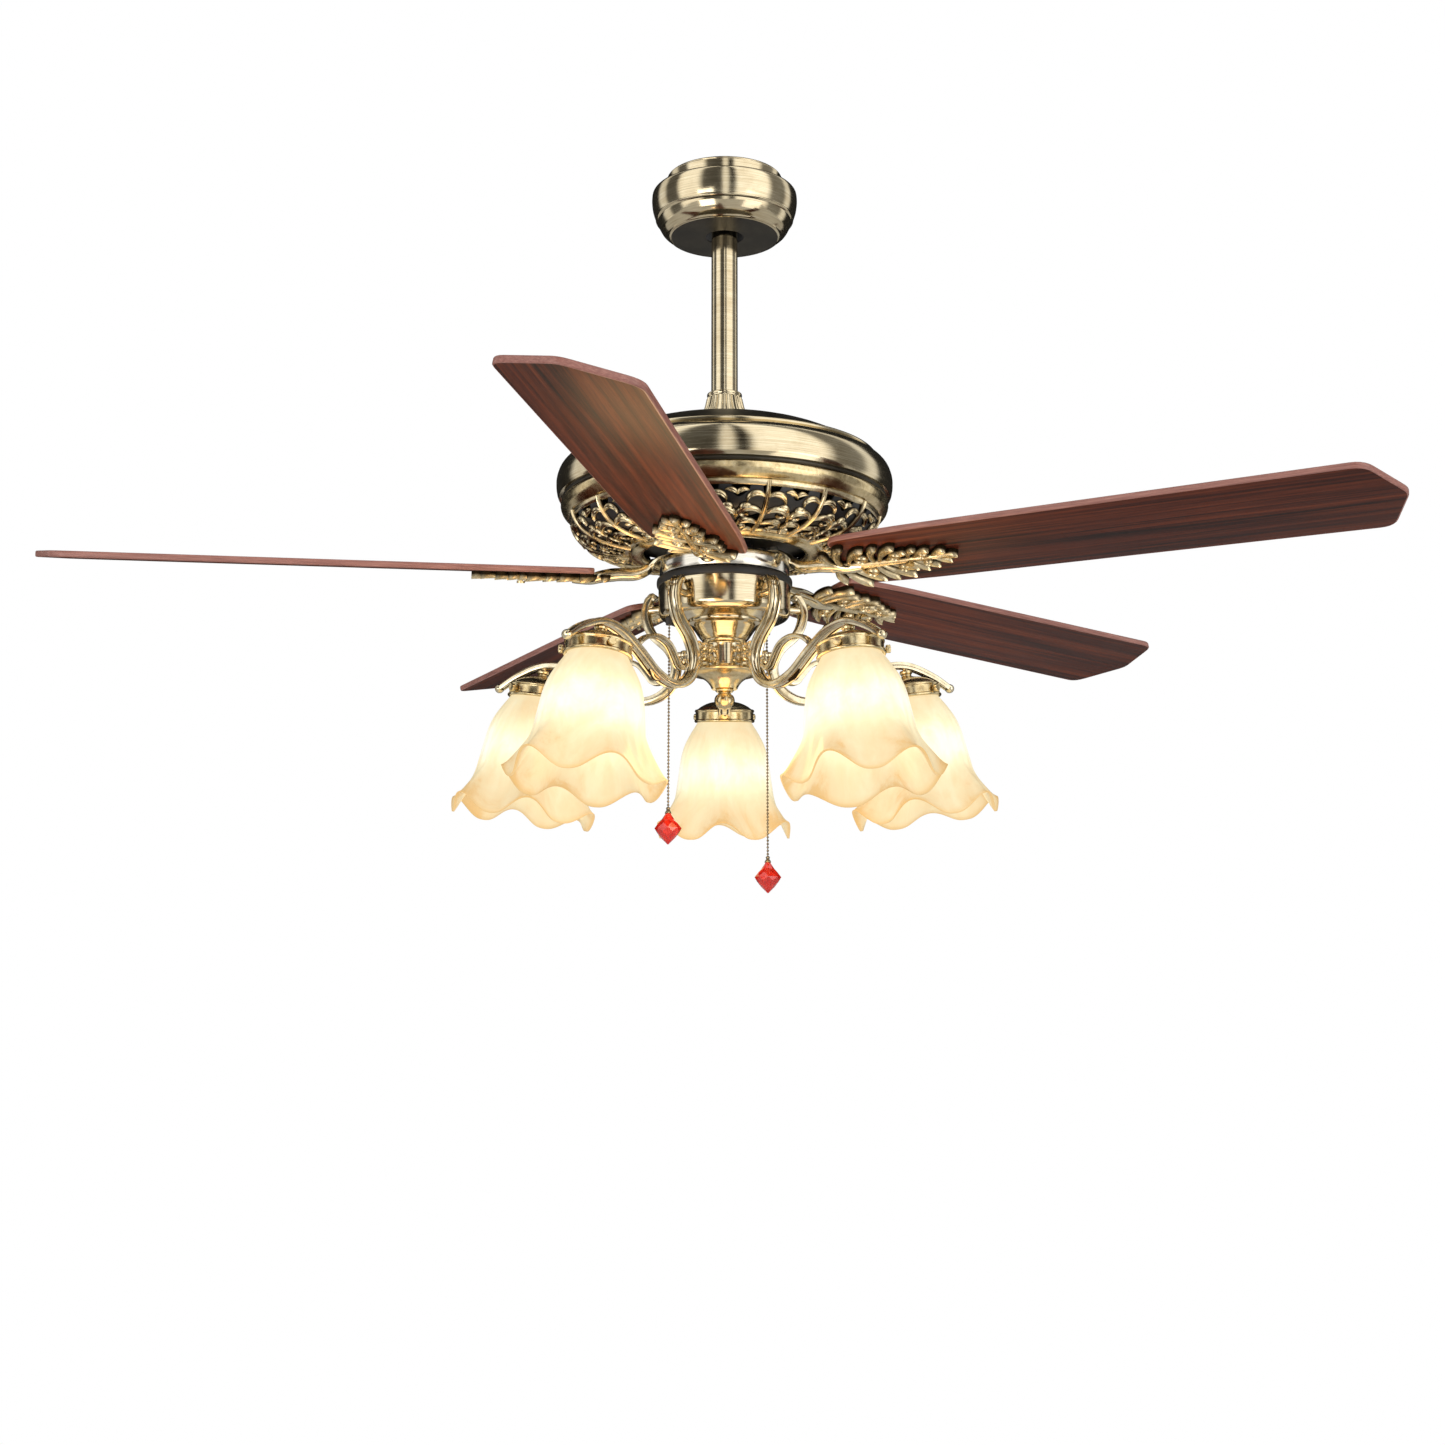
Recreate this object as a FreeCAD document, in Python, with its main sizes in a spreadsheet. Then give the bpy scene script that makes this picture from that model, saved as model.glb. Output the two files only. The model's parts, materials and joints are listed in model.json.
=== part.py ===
import FreeCAD, Part
import math
import os

import Sketcher
from FreeCAD import Placement, Rotation, Vector

# Ceiling fan with a five-lamp light kit.
# Frame: origin on the ceiling face at the fan's axis, +Z up, -Y towards the front, millimetres.
# Most pieces are drawn from the blade plane, which lies ceiling_to_blades below the origin.
# An azimuth is counted from the front (-Y) towards +X.

DIMENSIONS = {
    # hanging
    "ceiling_to_blades": 420.0,
    "canopy_radius": 74.5,
    "canopy_lip_radius": 58.0,
    "canopy_lip_height": 13.0,
    "canopy_height": 64.0,
    "canopy_screw_drop": 7.5,
    "canopy_hole_radius": 21.0,
    "sheet_metal": 1.5,
    "bracket_plate": 2.5,
    "bracket_length": 106.0,
    "bracket_width": 34.0,
    "bracket_drop": 38.0,
    "bracket_gap": 68.0,
    "ceiling_screw_spacing": 88.9,
    "ceiling_screw_hole_radius": 2.7,
    "ball_seat_radius": 19.0,
    "ball_radius": 24.0,
    "ball_half_height": 16.0,
    "ball_drop": 22.8,
    "rod_radius": 13.35,
    "rod_wall": 2.4,
    "pin_radius": 3.0,
    "pin_length": 40.0,
    # motor
    "yoke_radius": 18.0,
    "yoke_top": 156.0,
    "yoke_bottom": 112.0,
    "shaft_radius": 8.5,
    "shaft_bore": 5.0,
    "running_fit": 0.05,
    "bearing_radius": 20.0,
    "bearing_width": 12.0,
    "rotor_radius": 88.0,
    "rotor_wall": 4.0,
    "stator_radius": 70.0,
    "stator_bottom": 50.0,
    "stator_height": 30.0,
    "slot_width": 9.0,
    "slot_count": 12,
    "flywheel_radius": 64.0,
    # housing
    "housing_radius": 167.0,
    "housing_wall": 2.0,
    "filigree_count": 16,
    # blades
    "blade_count": 5,
    "first_blade_azimuth": 61.8,
    "sweep_radius": 660.0,
    "blade_root": 131.0,
    "blade_half_width": 60.0,
    "blade_root_half_width": 47.0,
    "blade_thickness": 6.0,
    "blade_pitch": 12.8,
    "iron_thickness": 4.0,
    "iron_bar_width": 16.0,
    # light kit
    "lamp_count": 5,
    "first_lamp_azimuth": 36.0,
    "lamp_ring_radius": 191.0,
    "lamp_pivot": -83.0,
    "lamp_tilt": 8.0,
    "arm_width": 13.0,
    "arm_thickness": 7.0,
    "cup_radius": 65.0,
    "column_radius": 17.5,
    "fitter_radius": 31.0,
    "fitter_rim": -114.0,
    "shade_neck_radius": 28.0,
    "shade_rim_radius": 74.0,
    "shade_top": -103.0,
    "shade_height": 133.0,
    "shade_wall": 3.0,
    "shade_petals": 6,
    # pull chains
    "chain_ring_radius": 55.0,
    "chain_radius": 1.2,
    "chain_top": -40.0,
    "switch_neck_radius": 3.4,
    "fan_chain_azimuth": -79.0,
    "fan_chain_length": 190.0,
    "light_chain_azimuth": 130.0,
    "light_chain_length": 232.0,
    "pendant_radius": 13.0,
    "pendant_height": 36.0,
}

doc = FreeCAD.newDocument("ceiling_fan")
sheet = doc.addObject("Spreadsheet::Sheet", "dims")
for row, (alias, number) in enumerate(DIMENSIONS.items(), start=1):
    sheet.set(f"A{row}", alias)
    sheet.set(f"B{row}", str(number))
    sheet.setAlias(f"B{row}", alias)
doc.recompute()

sub_parts = []


# ---------------------------------------------------------------- shared helpers

def size(alias):
    """A driving dimension as the sheet holds it."""
    return float(sheet.get(alias))


def cell(alias, factor=1.0, add=0.0):
    """A coordinate that follows a sheet cell: factor * cell + add."""
    return (alias, factor, add)


def number_of(coordinate):
    if isinstance(coordinate, tuple):
        alias, factor, add = coordinate
        return factor * size(alias) + add
    return float(coordinate)


def bind(owner, path, coordinate):
    """Tie a property or constraint to its sheet cell; plain numbers stay as they are."""
    if isinstance(coordinate, tuple):
        alias, factor, add = coordinate
        owner.setExpression(path, f"dims.{alias} * {factor} + {add}")


def keep(feature, label, at_blades=False):
    """Name a finished sub-part; at_blades hangs it from the blade plane."""
    feature.Label = label
    if at_blades:
        feature.setExpression(".Placement.Base.z", "-dims.ceiling_to_blades")
    sub_parts.append(feature)
    return feature


def direction(azimuth):
    """Unit vector that points outwards at an azimuth."""
    angle = math.radians(azimuth)
    return Vector(math.sin(angle), -math.cos(angle), 0)


def turned_to(azimuth):
    """Rotation that carries local +X outwards at an azimuth."""
    return Rotation(Vector(0, 0, 1), azimuth - 90)


def origin_plane(body, role):
    return next(plane for plane in body.Origin.OriginFeatures if plane.Role == role)


def draw_outline(body, name, role, corners):
    """A closed sketch. A corner is (x, y) or (x, y, bulge); bulge is the height of the arc to the
    next corner over its chord, positive to the right of the way round."""
    sketch = body.newObject("Sketcher::SketchObject", name)
    sketch.AttachmentSupport = [(origin_plane(body, role), "")]
    sketch.MapMode = "FlatFace"
    places = [Vector(number_of(corner[0]), number_of(corner[1]), 0) for corner in corners]
    ends = []
    for index, corner in enumerate(corners):
        start = places[index]
        stop = places[(index + 1) % len(places)]
        bulge = corner[2] if len(corner) > 2 else 0.0
        if bulge:
            chord = stop - start
            side = Vector(chord.y, -chord.x, 0)
            middle = (start + stop) * 0.5 + side * bulge
            edge = sketch.addGeometry(Part.Arc(start, middle, stop), False)
            ends.append((edge, 1, 2) if bulge > 0 else (edge, 2, 1))
        else:
            edge = sketch.addGeometry(Part.LineSegment(start, stop), False)
            ends.append((edge, 1, 2))
    for index, (edge, _, last) in enumerate(ends):
        next_edge, next_first, _ = ends[(index + 1) % len(ends)]
        sketch.addConstraint(Sketcher.Constraint("Coincident", edge, last, next_edge, next_first))
    for (edge, first, _), corner, place in zip(ends, corners, places):
        for kind, coordinate, value in (("DistanceX", corner[0], place.x), ("DistanceY", corner[1], place.y)):
            constraint = sketch.addConstraint(Sketcher.Constraint(kind, -1, 1, edge, first, value))
            bind(sketch, f"Constraints[{constraint}]", coordinate)
    return sketch


def turned(label, corners, at_blades=False):
    """A piece turned about the fan's axis from its half section of (radius, height) corners."""
    body = doc.addObject("PartDesign::Body", label)
    section = draw_outline(body, label + "_section", "XZ_Plane", corners)
    turn = body.newObject("PartDesign::Revolution", label + "_turn")
    turn.Profile = section
    turn.ReferenceAxis = (section, ["V_Axis"])
    turn.Angle = 360
    return keep(body, label, at_blades)


def add_holes(body, name, role, centres, radius):
    """Round holes cut square to one of the body's own origin planes, through everything."""
    sketch = body.newObject("Sketcher::SketchObject", name)
    sketch.AttachmentSupport = [(origin_plane(body, role), "")]
    sketch.MapMode = "FlatFace"
    for x, y in centres:
        circle = sketch.addGeometry(
            Part.Circle(Vector(number_of(x), number_of(y), 0), Vector(0, 0, 1), number_of(radius)), False)
        across = sketch.addConstraint(Sketcher.Constraint("DistanceX", -1, 1, circle, 3, number_of(x)))
        bind(sketch, f"Constraints[{across}]", x)
        up = sketch.addConstraint(Sketcher.Constraint("DistanceY", -1, 1, circle, 3, number_of(y)))
        bind(sketch, f"Constraints[{up}]", y)
        round_size = sketch.addConstraint(Sketcher.Constraint("Radius", circle, number_of(radius)))
        bind(sketch, f"Constraints[{round_size}]", radius)
    pocket = body.newObject("PartDesign::Pocket", name + "_cut")
    pocket.Profile = sketch
    pocket.Type = "ThroughAll"
    pocket.Midplane = True


def padded(label, role, corners, height):
    """A flat piece padded evenly to both sides of a closed outline on one of the body's own planes."""
    body = doc.addObject("PartDesign::Body", label)
    outline = draw_outline(body, label + "_outline", role, corners)
    pad = body.newObject("PartDesign::Pad", label + "_pad")
    pad.Profile = outline
    pad.Length = number_of(height)
    bind(pad, "Length", height)
    pad.Midplane = True
    return body


def feature_of(label, shape, at_blades=False, placement=None):
    """A free-form piece, or a group of like pieces, whose shape is worked out in code."""
    feature = doc.addObject("Part::Feature", label)
    feature.Shape = shape
    if placement is not None:
        feature.Placement = placement
    return keep(feature, label, at_blades)


def rod_solid(start, along, radius, length):
    return Part.makeCylinder(radius, length, start, along)


def screw(tip, along, shank_radius, shank_length, head_radius, head_height):
    """A screw from its tip to its head, as one solid."""
    way = Vector(along).normalize()
    shank = Part.makeCylinder(shank_radius, shank_length, tip, way)
    head = Part.makeCylinder(head_radius, head_height, tip + way * shank_length, way)
    return shank.fuse(head).removeSplitter()


def smooth_plate(points, thickness, base):
    """A plate whose edge is one closed smooth curve through the points."""
    curve = Part.BSplineCurve()
    curve.interpolate(Points=[Vector(x, y, base) for x, y in points], PeriodicFlag=True)
    return Part.Face(Part.Wire([curve.toShape()])).extrude(Vector(0, 0, thickness))


def around(shape, azimuths):
    """Copies of a shape drawn along +X, one at each azimuth."""
    copies = []
    for azimuth in azimuths:
        copy = shape.copy()
        copy.Placement = Placement(Vector(), turned_to(azimuth)) * copy.Placement
        copies.append(copy)
    return copies


lamp_azimuths = [size("first_lamp_azimuth") + 360 / size("lamp_count") * index
                 for index in range(int(size("lamp_count")))]
blade_azimuths = [size("first_blade_azimuth") + 360 / size("blade_count") * index
                  for index in range(int(size("blade_count")))]

# Places that several pieces share, in millimetres; heights are from the blade plane.
rod_bottom = 122.0
lower_pin_height = 136.0
flange_bottom = 116.0
housing_screw_azimuths = (0, 90, 180, 270)
housing_screw_ring = 38.0
housing_post_top = 150.0
rotor_split = 65.0
bearing_bottoms = (26.0, 93.0)
winding_overhang = 9.0
flywheel_top = 14.0
foot_screws = (40.0, 54.0)
leaf_windows = ((146, 30, 5.0), (181, 29, 4.5), (212, 13.5, 3.0))
blade_screw_places = ((158, 14), (158, -14), (200, 0))
blade_screw_length = 9.5
rib_depth = 4.3
thumb_screw_azimuths = (30, 150, 270)
thumb_screw_drop = 6.0
stud_radius = 3.0


# ---------------------------------------------------------------- ceiling bracket and canopy

def make_bracket():
    """Folded steel hanger: ceiling plate, two legs, and a shelf with the round seat of the ball."""
    plate = size("bracket_plate")
    half_length = size("bracket_length") / 2
    half_gap = size("bracket_gap") / 2
    half_width = size("bracket_width") / 2
    drop = size("bracket_drop")
    tab_drop = 15.0
    tab_half_width = 8.0

    def block(low, high):
        corner = Vector(*low)
        extent = Vector(*high) - corner
        return Part.makeBox(extent.x, extent.y, extent.z, corner)

    shape = block((-half_length, -half_width, -plate), (half_length, half_width, 0))
    shelf_half = half_gap + plate
    shape = shape.fuse(block((-shelf_half, -half_width, -drop - plate), (shelf_half, half_width, -drop)))
    for side in (-1, 1):
        low_leg, high_leg = sorted((side * half_gap, side * shelf_half))
        shape = shape.fuse(block((low_leg, -half_width, -drop), (high_leg, half_width, -plate)))
        low_tab, high_tab = sorted((side * half_length, side * (half_length - plate)))
        shape = shape.fuse(block((low_tab, -tab_half_width, -tab_drop), (high_tab, tab_half_width, -plate)))
        screw_at = side * size("ceiling_screw_spacing") / 2
        shape = shape.cut(rod_solid(Vector(screw_at, 0, -plate - 1), Vector(0, 0, 1),
                                    size("ceiling_screw_hole_radius"), plate + 2))
    shape = shape.cut(rod_solid(Vector(0, 0, -drop - plate - 1), Vector(0, 0, 1),
                                size("ball_seat_radius"), plate + 2))
    side_hole = rod_solid(Vector(-half_length - 1, 0, -size("canopy_screw_drop")), Vector(1, 0, 0),
                          2.0, 2 * half_length + 2)
    legs_kept = block((-half_gap - plate - 1, -half_width, -drop), (half_gap + plate + 1, half_width, -plate))
    shape = shape.cut(side_hole.cut(legs_kept))
    return shape.removeSplitter()


feature_of("hanger_bracket", make_bracket())

skin = size("sheet_metal")
canopy = turned("canopy", [
    (cell("canopy_lip_radius", 1, -skin), 0),
    (cell("canopy_lip_radius", 1, -skin), cell("canopy_lip_height", -1, -skin)),
    (cell("canopy_lip_radius", 1, 6), cell("canopy_lip_height", -1, -3.5), -0.25),
    (cell("canopy_radius", 1, -1 - skin), cell("canopy_lip_height", -1, -7), -0.05),
    (cell("canopy_radius", 1, -skin), cell("canopy_height", -0.41), -0.08),
    (cell("canopy_radius", 0.945, -skin), cell("canopy_height", -0.72)),
    (cell("canopy_radius", 0.915, -skin), cell("canopy_height", -0.755), -0.14),
    (cell("canopy_radius", 0.76, -skin), cell("canopy_height", -1, skin)),
    (cell("canopy_hole_radius"), cell("canopy_height", -1, skin)),
    (cell("canopy_hole_radius"), cell("canopy_height", -1)),
    (cell("canopy_radius", 0.76), cell("canopy_height", -1), 0.14),
    (cell("canopy_radius", 0.915), cell("canopy_height", -0.745)),
    (cell("canopy_radius", 0.945), cell("canopy_height", -0.71), 0.08),
    (cell("canopy_radius"), cell("canopy_height", -0.41), 0.05),
    (cell("canopy_radius", 1, -1), cell("canopy_lip_height", -1, -5.5), 0.25),
    (cell("canopy_lip_radius", 1, 6), cell("canopy_lip_height", -1, -2)),
    (cell("canopy_lip_radius", 1, 1), cell("canopy_lip_height", -1, -1)),
    (cell("canopy_lip_radius"), cell("canopy_lip_height", -1)),
    (cell("canopy_lip_radius"), 0),
])
add_holes(canopy, "canopy_screw_holes", "YZ_Plane", [(0, cell("canopy_screw_drop", -1))], 2.1)

canopy_screws = [screw(side * (size("bracket_length") / 2 - 6) - Vector(0, 0, size("canopy_screw_drop")),
                       side, 1.9, 11.2, 4.0, 2.4)
                 for side in (Vector(1, 0, 0), Vector(-1, 0, 0))]
feature_of("canopy_screws", Part.makeCompound(canopy_screws))


# ---------------------------------------------------------------- ball, downrod and its pins

ball = doc.addObject("Part::Sphere", "ball_round")
ball.setExpression("Radius", "dims.ball_radius")
ball_flats = doc.addObject("Part::Cylinder", "ball_flats")
ball_flats.setExpression("Radius", "dims.ball_radius + 1")
ball_flats.setExpression("Height", "dims.ball_half_height * 2")
ball_flats.setExpression(".Placement.Base.z", "-dims.ball_half_height")
flat_ball = doc.addObject("Part::Common", "ball_flattened")
flat_ball.Base = ball
flat_ball.Tool = ball_flats
bore = doc.addObject("Part::Cylinder", "ball_bore")
bore.setExpression("Radius", "dims.rod_radius")
bore.setExpression("Height", "dims.ball_half_height * 2 + 2")
bore.setExpression(".Placement.Base.z", "-dims.ball_half_height - 1")
bored_ball = doc.addObject("Part::Cut", "ball_bored")
bored_ball.Base = flat_ball
bored_ball.Tool = bore
pin_hole = doc.addObject("Part::Cylinder", "ball_pin_hole")
pin_hole.setExpression("Radius", "dims.pin_radius")
pin_hole.setExpression("Height", "dims.ball_radius * 2 + 2")
pin_hole.Placement.Rotation = Rotation(Vector(1, 0, 0), 90)
pin_hole.setExpression(".Placement.Base.y", "dims.ball_radius + 1")
hanger_ball = doc.addObject("Part::Cut", "hanger_ball")
hanger_ball.Base = bored_ball
hanger_ball.Tool = pin_hole
hanger_ball.setExpression(".Placement.Base.z", "-dims.ball_drop")
keep(hanger_ball, "hanger_ball")

def make_downrod():
    """Tube with a pin hole near each end, one through the ball and one through the motor's yoke."""
    outer = size("rod_radius")
    bottom = rod_bottom - size("ceiling_to_blades")
    length = -size("ball_drop") + size("ball_half_height") - 1 - bottom
    rod = Part.makeCylinder(outer, length, Vector(0, 0, bottom))
    rod = rod.cut(Part.makeCylinder(outer - size("rod_wall"), length + 2, Vector(0, 0, bottom - 1)))
    for height in (-size("ball_drop"), lower_pin_height - size("ceiling_to_blades")):
        rod = rod.cut(rod_solid(Vector(0, -outer - 1, height), Vector(0, 1, 0),
                                size("pin_radius"), 2 * outer + 2))
    return rod


feature_of("downrod", make_downrod())

pin_start = Vector(0, -size("pin_length") / 2, 0)
rod_pins = []
for height in (-size("ball_drop"), lower_pin_height - size("ceiling_to_blades")):
    rod_pins.append(rod_solid(pin_start + Vector(0, 0, height), Vector(0, 1, 0),
                              size("pin_radius"), size("pin_length")))
feature_of("rod_pins", Part.makeCompound(rod_pins))

turned("rod_cover", [
    (cell("rod_radius", 1, 0.4), 188),
    (cell("rod_radius", 1, 0.4), 184),
    (18.6, 166),
    (21.4, 158),
    (26.0, 158),
    (26.0, 161.5),
    (22.6, 164),
    (21.0, 170),
    (17.0, 183),
    (17.4, 185),
    (16.2, 188),
], at_blades=True)


def make_yoke():
    """Collar that joins the downrod to the motor shaft, with the flange that carries the housing."""
    top = size("yoke_top")
    bottom = size("yoke_bottom")
    radius = size("yoke_radius")
    flange_radius = 44.0
    flange_thickness = 5.0
    yoke = Part.makeCylinder(radius, top - bottom, Vector(0, 0, bottom))
    yoke = yoke.fuse(Part.makeCylinder(flange_radius, flange_thickness, Vector(0, 0, flange_bottom)))
    for azimuth in housing_screw_azimuths:
        post_foot = direction(azimuth) * housing_screw_ring + Vector(0, 0, flange_bottom)
        yoke = yoke.fuse(Part.makeCylinder(4.5, housing_post_top - flange_bottom, post_foot))
    yoke = yoke.cut(Part.makeCylinder(size("rod_radius"), top, Vector(0, 0, rod_bottom)))
    yoke = yoke.cut(Part.makeCylinder(size("shaft_radius"), top, Vector(0, 0, bottom - 1)))
    yoke = yoke.cut(rod_solid(Vector(0, -radius - 1, lower_pin_height), Vector(0, 1, 0),
                              size("pin_radius"), 2 * radius + 2))
    for azimuth in housing_screw_azimuths:
        tap = direction(azimuth) * housing_screw_ring + Vector(0, 0, housing_post_top - 10)
        yoke = yoke.cut(Part.makeCylinder(1.9, 12, tap))
    return yoke.removeSplitter()


feature_of("motor_yoke", make_yoke(), at_blades=True)


# ---------------------------------------------------------------- motor

turned("motor_shaft", [
    (cell("shaft_bore"), cell("yoke_bottom", 1, 10)),
    (cell("shaft_bore"), -14),
    (cell("shaft_radius"), -14),
    (cell("shaft_radius"), cell("yoke_bottom", 1, 10)),
], at_blades=True)


def make_bearings():
    rings = []
    for bottom in bearing_bottoms:
        ring = Part.makeCylinder(size("bearing_radius"), size("bearing_width"), Vector(0, 0, bottom))
        rings.append(ring.cut(Part.makeCylinder(size("shaft_radius"), size("bearing_width") + 2,
                                                Vector(0, 0, bottom - 1))))
    return Part.makeCompound(rings)


feature_of("motor_bearings", make_bearings(), at_blades=True)


def slot_blocks(clearance, bottom, height):
    """The winding slots, or with a clearance the bars that fill them."""
    inner = 44.0 + clearance
    outer = 66.0 - clearance
    width = size("slot_width") - 2 * clearance
    block = Part.makeBox(outer - inner, width, height, Vector(inner, -width / 2, bottom))
    count = int(size("slot_count"))
    return around(block, [360 / count * index for index in range(count)])


def make_stator_core():
    bottom = size("stator_bottom")
    height = size("stator_height")
    core = Part.makeCylinder(size("stator_radius"), height, Vector(0, 0, bottom))
    core = core.cut(Part.makeCylinder(size("shaft_radius"), height + 2, Vector(0, 0, bottom - 1)))
    for block in slot_blocks(0, bottom - 1, height + 2):
        core = core.cut(block)
    return core


feature_of("stator_core", make_stator_core(), at_blades=True)
feature_of("stator_windings",
           Part.makeCompound(slot_blocks(0.2, size("stator_bottom") - winding_overhang,
                                         size("stator_height") + 2 * winding_overhang)),
           at_blades=True)

rotor_bore = cell("bearing_radius", 1, size("running_fit"))
turned("rotor_upper", [
    (rotor_bore, 92),
    (25, 92),
    (25, 96),
    (cell("rotor_radius", 1, -size("rotor_wall")), 96),
    (cell("rotor_radius", 1, -size("rotor_wall")), rotor_split),
    (cell("rotor_radius"), rotor_split),
    (cell("rotor_radius"), 97, 0.2),
    (cell("rotor_radius", 1, -3), 100),
    (25, 100),
    (25, 105),
    (rotor_bore, 105),
], at_blades=True)
turned("rotor_lower", [
    (rotor_bore, 25),
    (28, 25),
    (28, 30),
    (cell("rotor_radius", 1, -3), 30, 0.2),
    (cell("rotor_radius"), 33),
    (cell("rotor_radius"), rotor_split),
    (cell("rotor_radius", 1, -size("rotor_wall")), rotor_split),
    (cell("rotor_radius", 1, -size("rotor_wall")), 34),
    (25, 34),
    (25, 38.5),
    (rotor_bore, 38.5),
], at_blades=True)
turned("rotor_core", [
    (cell("stator_radius", 1, 0.8), cell("stator_bottom")),
    (cell("rotor_radius", 1, -size("rotor_wall")), cell("stator_bottom")),
    (cell("rotor_radius", 1, -size("rotor_wall")), cell("stator_bottom", 1, size("stator_height"))),
    (cell("stator_radius", 1, 0.8), cell("stator_bottom", 1, size("stator_height"))),
], at_blades=True)

flywheel = turned("flywheel", [
    (14, 25),
    (14, 9),
    (cell("flywheel_radius", 1, -4), 9),
    (cell("flywheel_radius", 1, -4), -3),
    (cell("flywheel_radius"), -3),
    (cell("flywheel_radius"), flywheel_top - 1.5),
    (cell("flywheel_radius", 1, -1.5), flywheel_top),
    (28, flywheel_top),
    (28, 25),
], at_blades=True)
doc.recompute()
foot_screw_places = [direction(azimuth) * reach for azimuth in blade_azimuths for reach in foot_screws]
add_holes(flywheel, "flywheel_screw_holes", "XY_Plane", [(place.x, place.y) for place in foot_screw_places], 2.6)


# ---------------------------------------------------------------- motor housing

housing_cap = turned("housing_cap", [
    (21.2, 156.0, -0.03),
    (110.0, 134.5, -0.04),
    (145.0, 116.5),
    (148.0, 118.0, 0.04),
    (110.0, 137.0, 0.03),
    (21.2, 158.0),
], at_blades=True)
doc.recompute()
cap_hole_places = [(housing_screw_ring, 0), (0, housing_screw_ring), (-housing_screw_ring, 0),
                   (0, -housing_screw_ring)]
add_holes(housing_cap, "housing_cap_holes", "XY_Plane", cap_hole_places, 2.1)
drum_wall = size("housing_wall")
turned("housing_drum", [
    (145.0, 116.5),
    (150.5, 113.5, -0.10),
    (cell("housing_radius", 1, -5 - drum_wall), 104.0, -0.08),
    (cell("housing_radius", 1, -drum_wall), 88.0, -0.07),
    (cell("housing_radius", 1, -4.5 - drum_wall), 73.5),
    (cell("housing_radius", 1, -9 - drum_wall), 69.0),
    (cell("housing_radius", 1, -14), 66.0),
    (cell("housing_radius", 1, -7), 66.0),
    (cell("housing_radius", 1, -6.5), 69.5),
    (cell("housing_radius", 1, -3), 73.5, 0.07),
    (cell("housing_radius"), 88.0, 0.08),
    (cell("housing_radius", 1, -4.5), 104.5, 0.10),
    (151.5, 116.0, 0.16),
    (148.0, 118.0),
], at_blades=True)
turned("bead_ring", [
    (149.0, 66.0),
    (149.0, 57.0),
    (154.0, 57.0, 0.30),
    (157.0, 61.5, 0.30),
    (155.0, 66.0),
], at_blades=True)


def make_filigree():
    """Bowl under the drum, pierced all round between its upright stems."""
    wall = 2.5
    outside = [(153, 57), (149, 46), (138, 34), (120, 27), (94, 23)]
    inside = [(94, 23 + wall), (119, 27 + wall), (136.5, 36), (146, 47), (149, 57)]

    def curve_of(points):
        line = Part.BSplineCurve()
        line.interpolate([Vector(radius, 0, height) for radius, height in points])
        return line.toShape()

    def corner(point):
        return Vector(point[0], 0, point[1])

    section = Part.Wire([curve_of(outside),
                         Part.LineSegment(corner(outside[-1]), corner(inside[0])).toShape(),
                         curve_of(inside),
                         Part.LineSegment(corner(inside[-1]), corner(outside[0])).toShape()])
    bowl = Part.Face(section).revolve(Vector(), Vector(0, 0, 1), 360)
    step = 360 / int(size("filigree_count"))
    # Upper windows are cut straight out through the steep wall, lower ones straight down.
    upper_window = smooth_plate([(-10, 0), (-6, 7), (2, 10), (8, 4), (9, -4), (3, -8), (-5, -7)], 20, 0)
    upper_window.Placement = Placement(Vector(133, 0, 46.5), Rotation(Vector(0, 1, 0), 70))
    lower_window = smooth_plate([(100, 0), (104, 5), (114, 9), (125, 10), (130, 5), (127, 0),
                                 (130, -5), (125, -10), (114, -9), (104, -5)], 30, 15)
    cutters = []
    for index in range(int(size("filigree_count"))):
        cutters += around(upper_window, [index * step + step * 0.25, index * step + step * 0.75])
        cutters += around(lower_window, [index * step + step * 0.5])
    return bowl.cut(cutters)


feature_of("housing_filigree", make_filigree(), at_blades=True)
turned("trim_ring", [
    (80.0, 23.0),
    (80.0, 20.0, 0.25),
    (87.0, 18.0, 0.20),
    (94.0, 21.0),
    (94.0, 23.0),
], at_blades=True)
housing_screws = [screw(direction(azimuth) * housing_screw_ring + Vector(0, 0, housing_post_top - 8),
                        Vector(0, 0, 1), 1.8, 14.5, 4.0, 2.4) for azimuth in housing_screw_azimuths]
feature_of("housing_screws", Part.makeCompound(housing_screws), at_blades=True)


# ---------------------------------------------------------------- blade irons and blades

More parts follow.
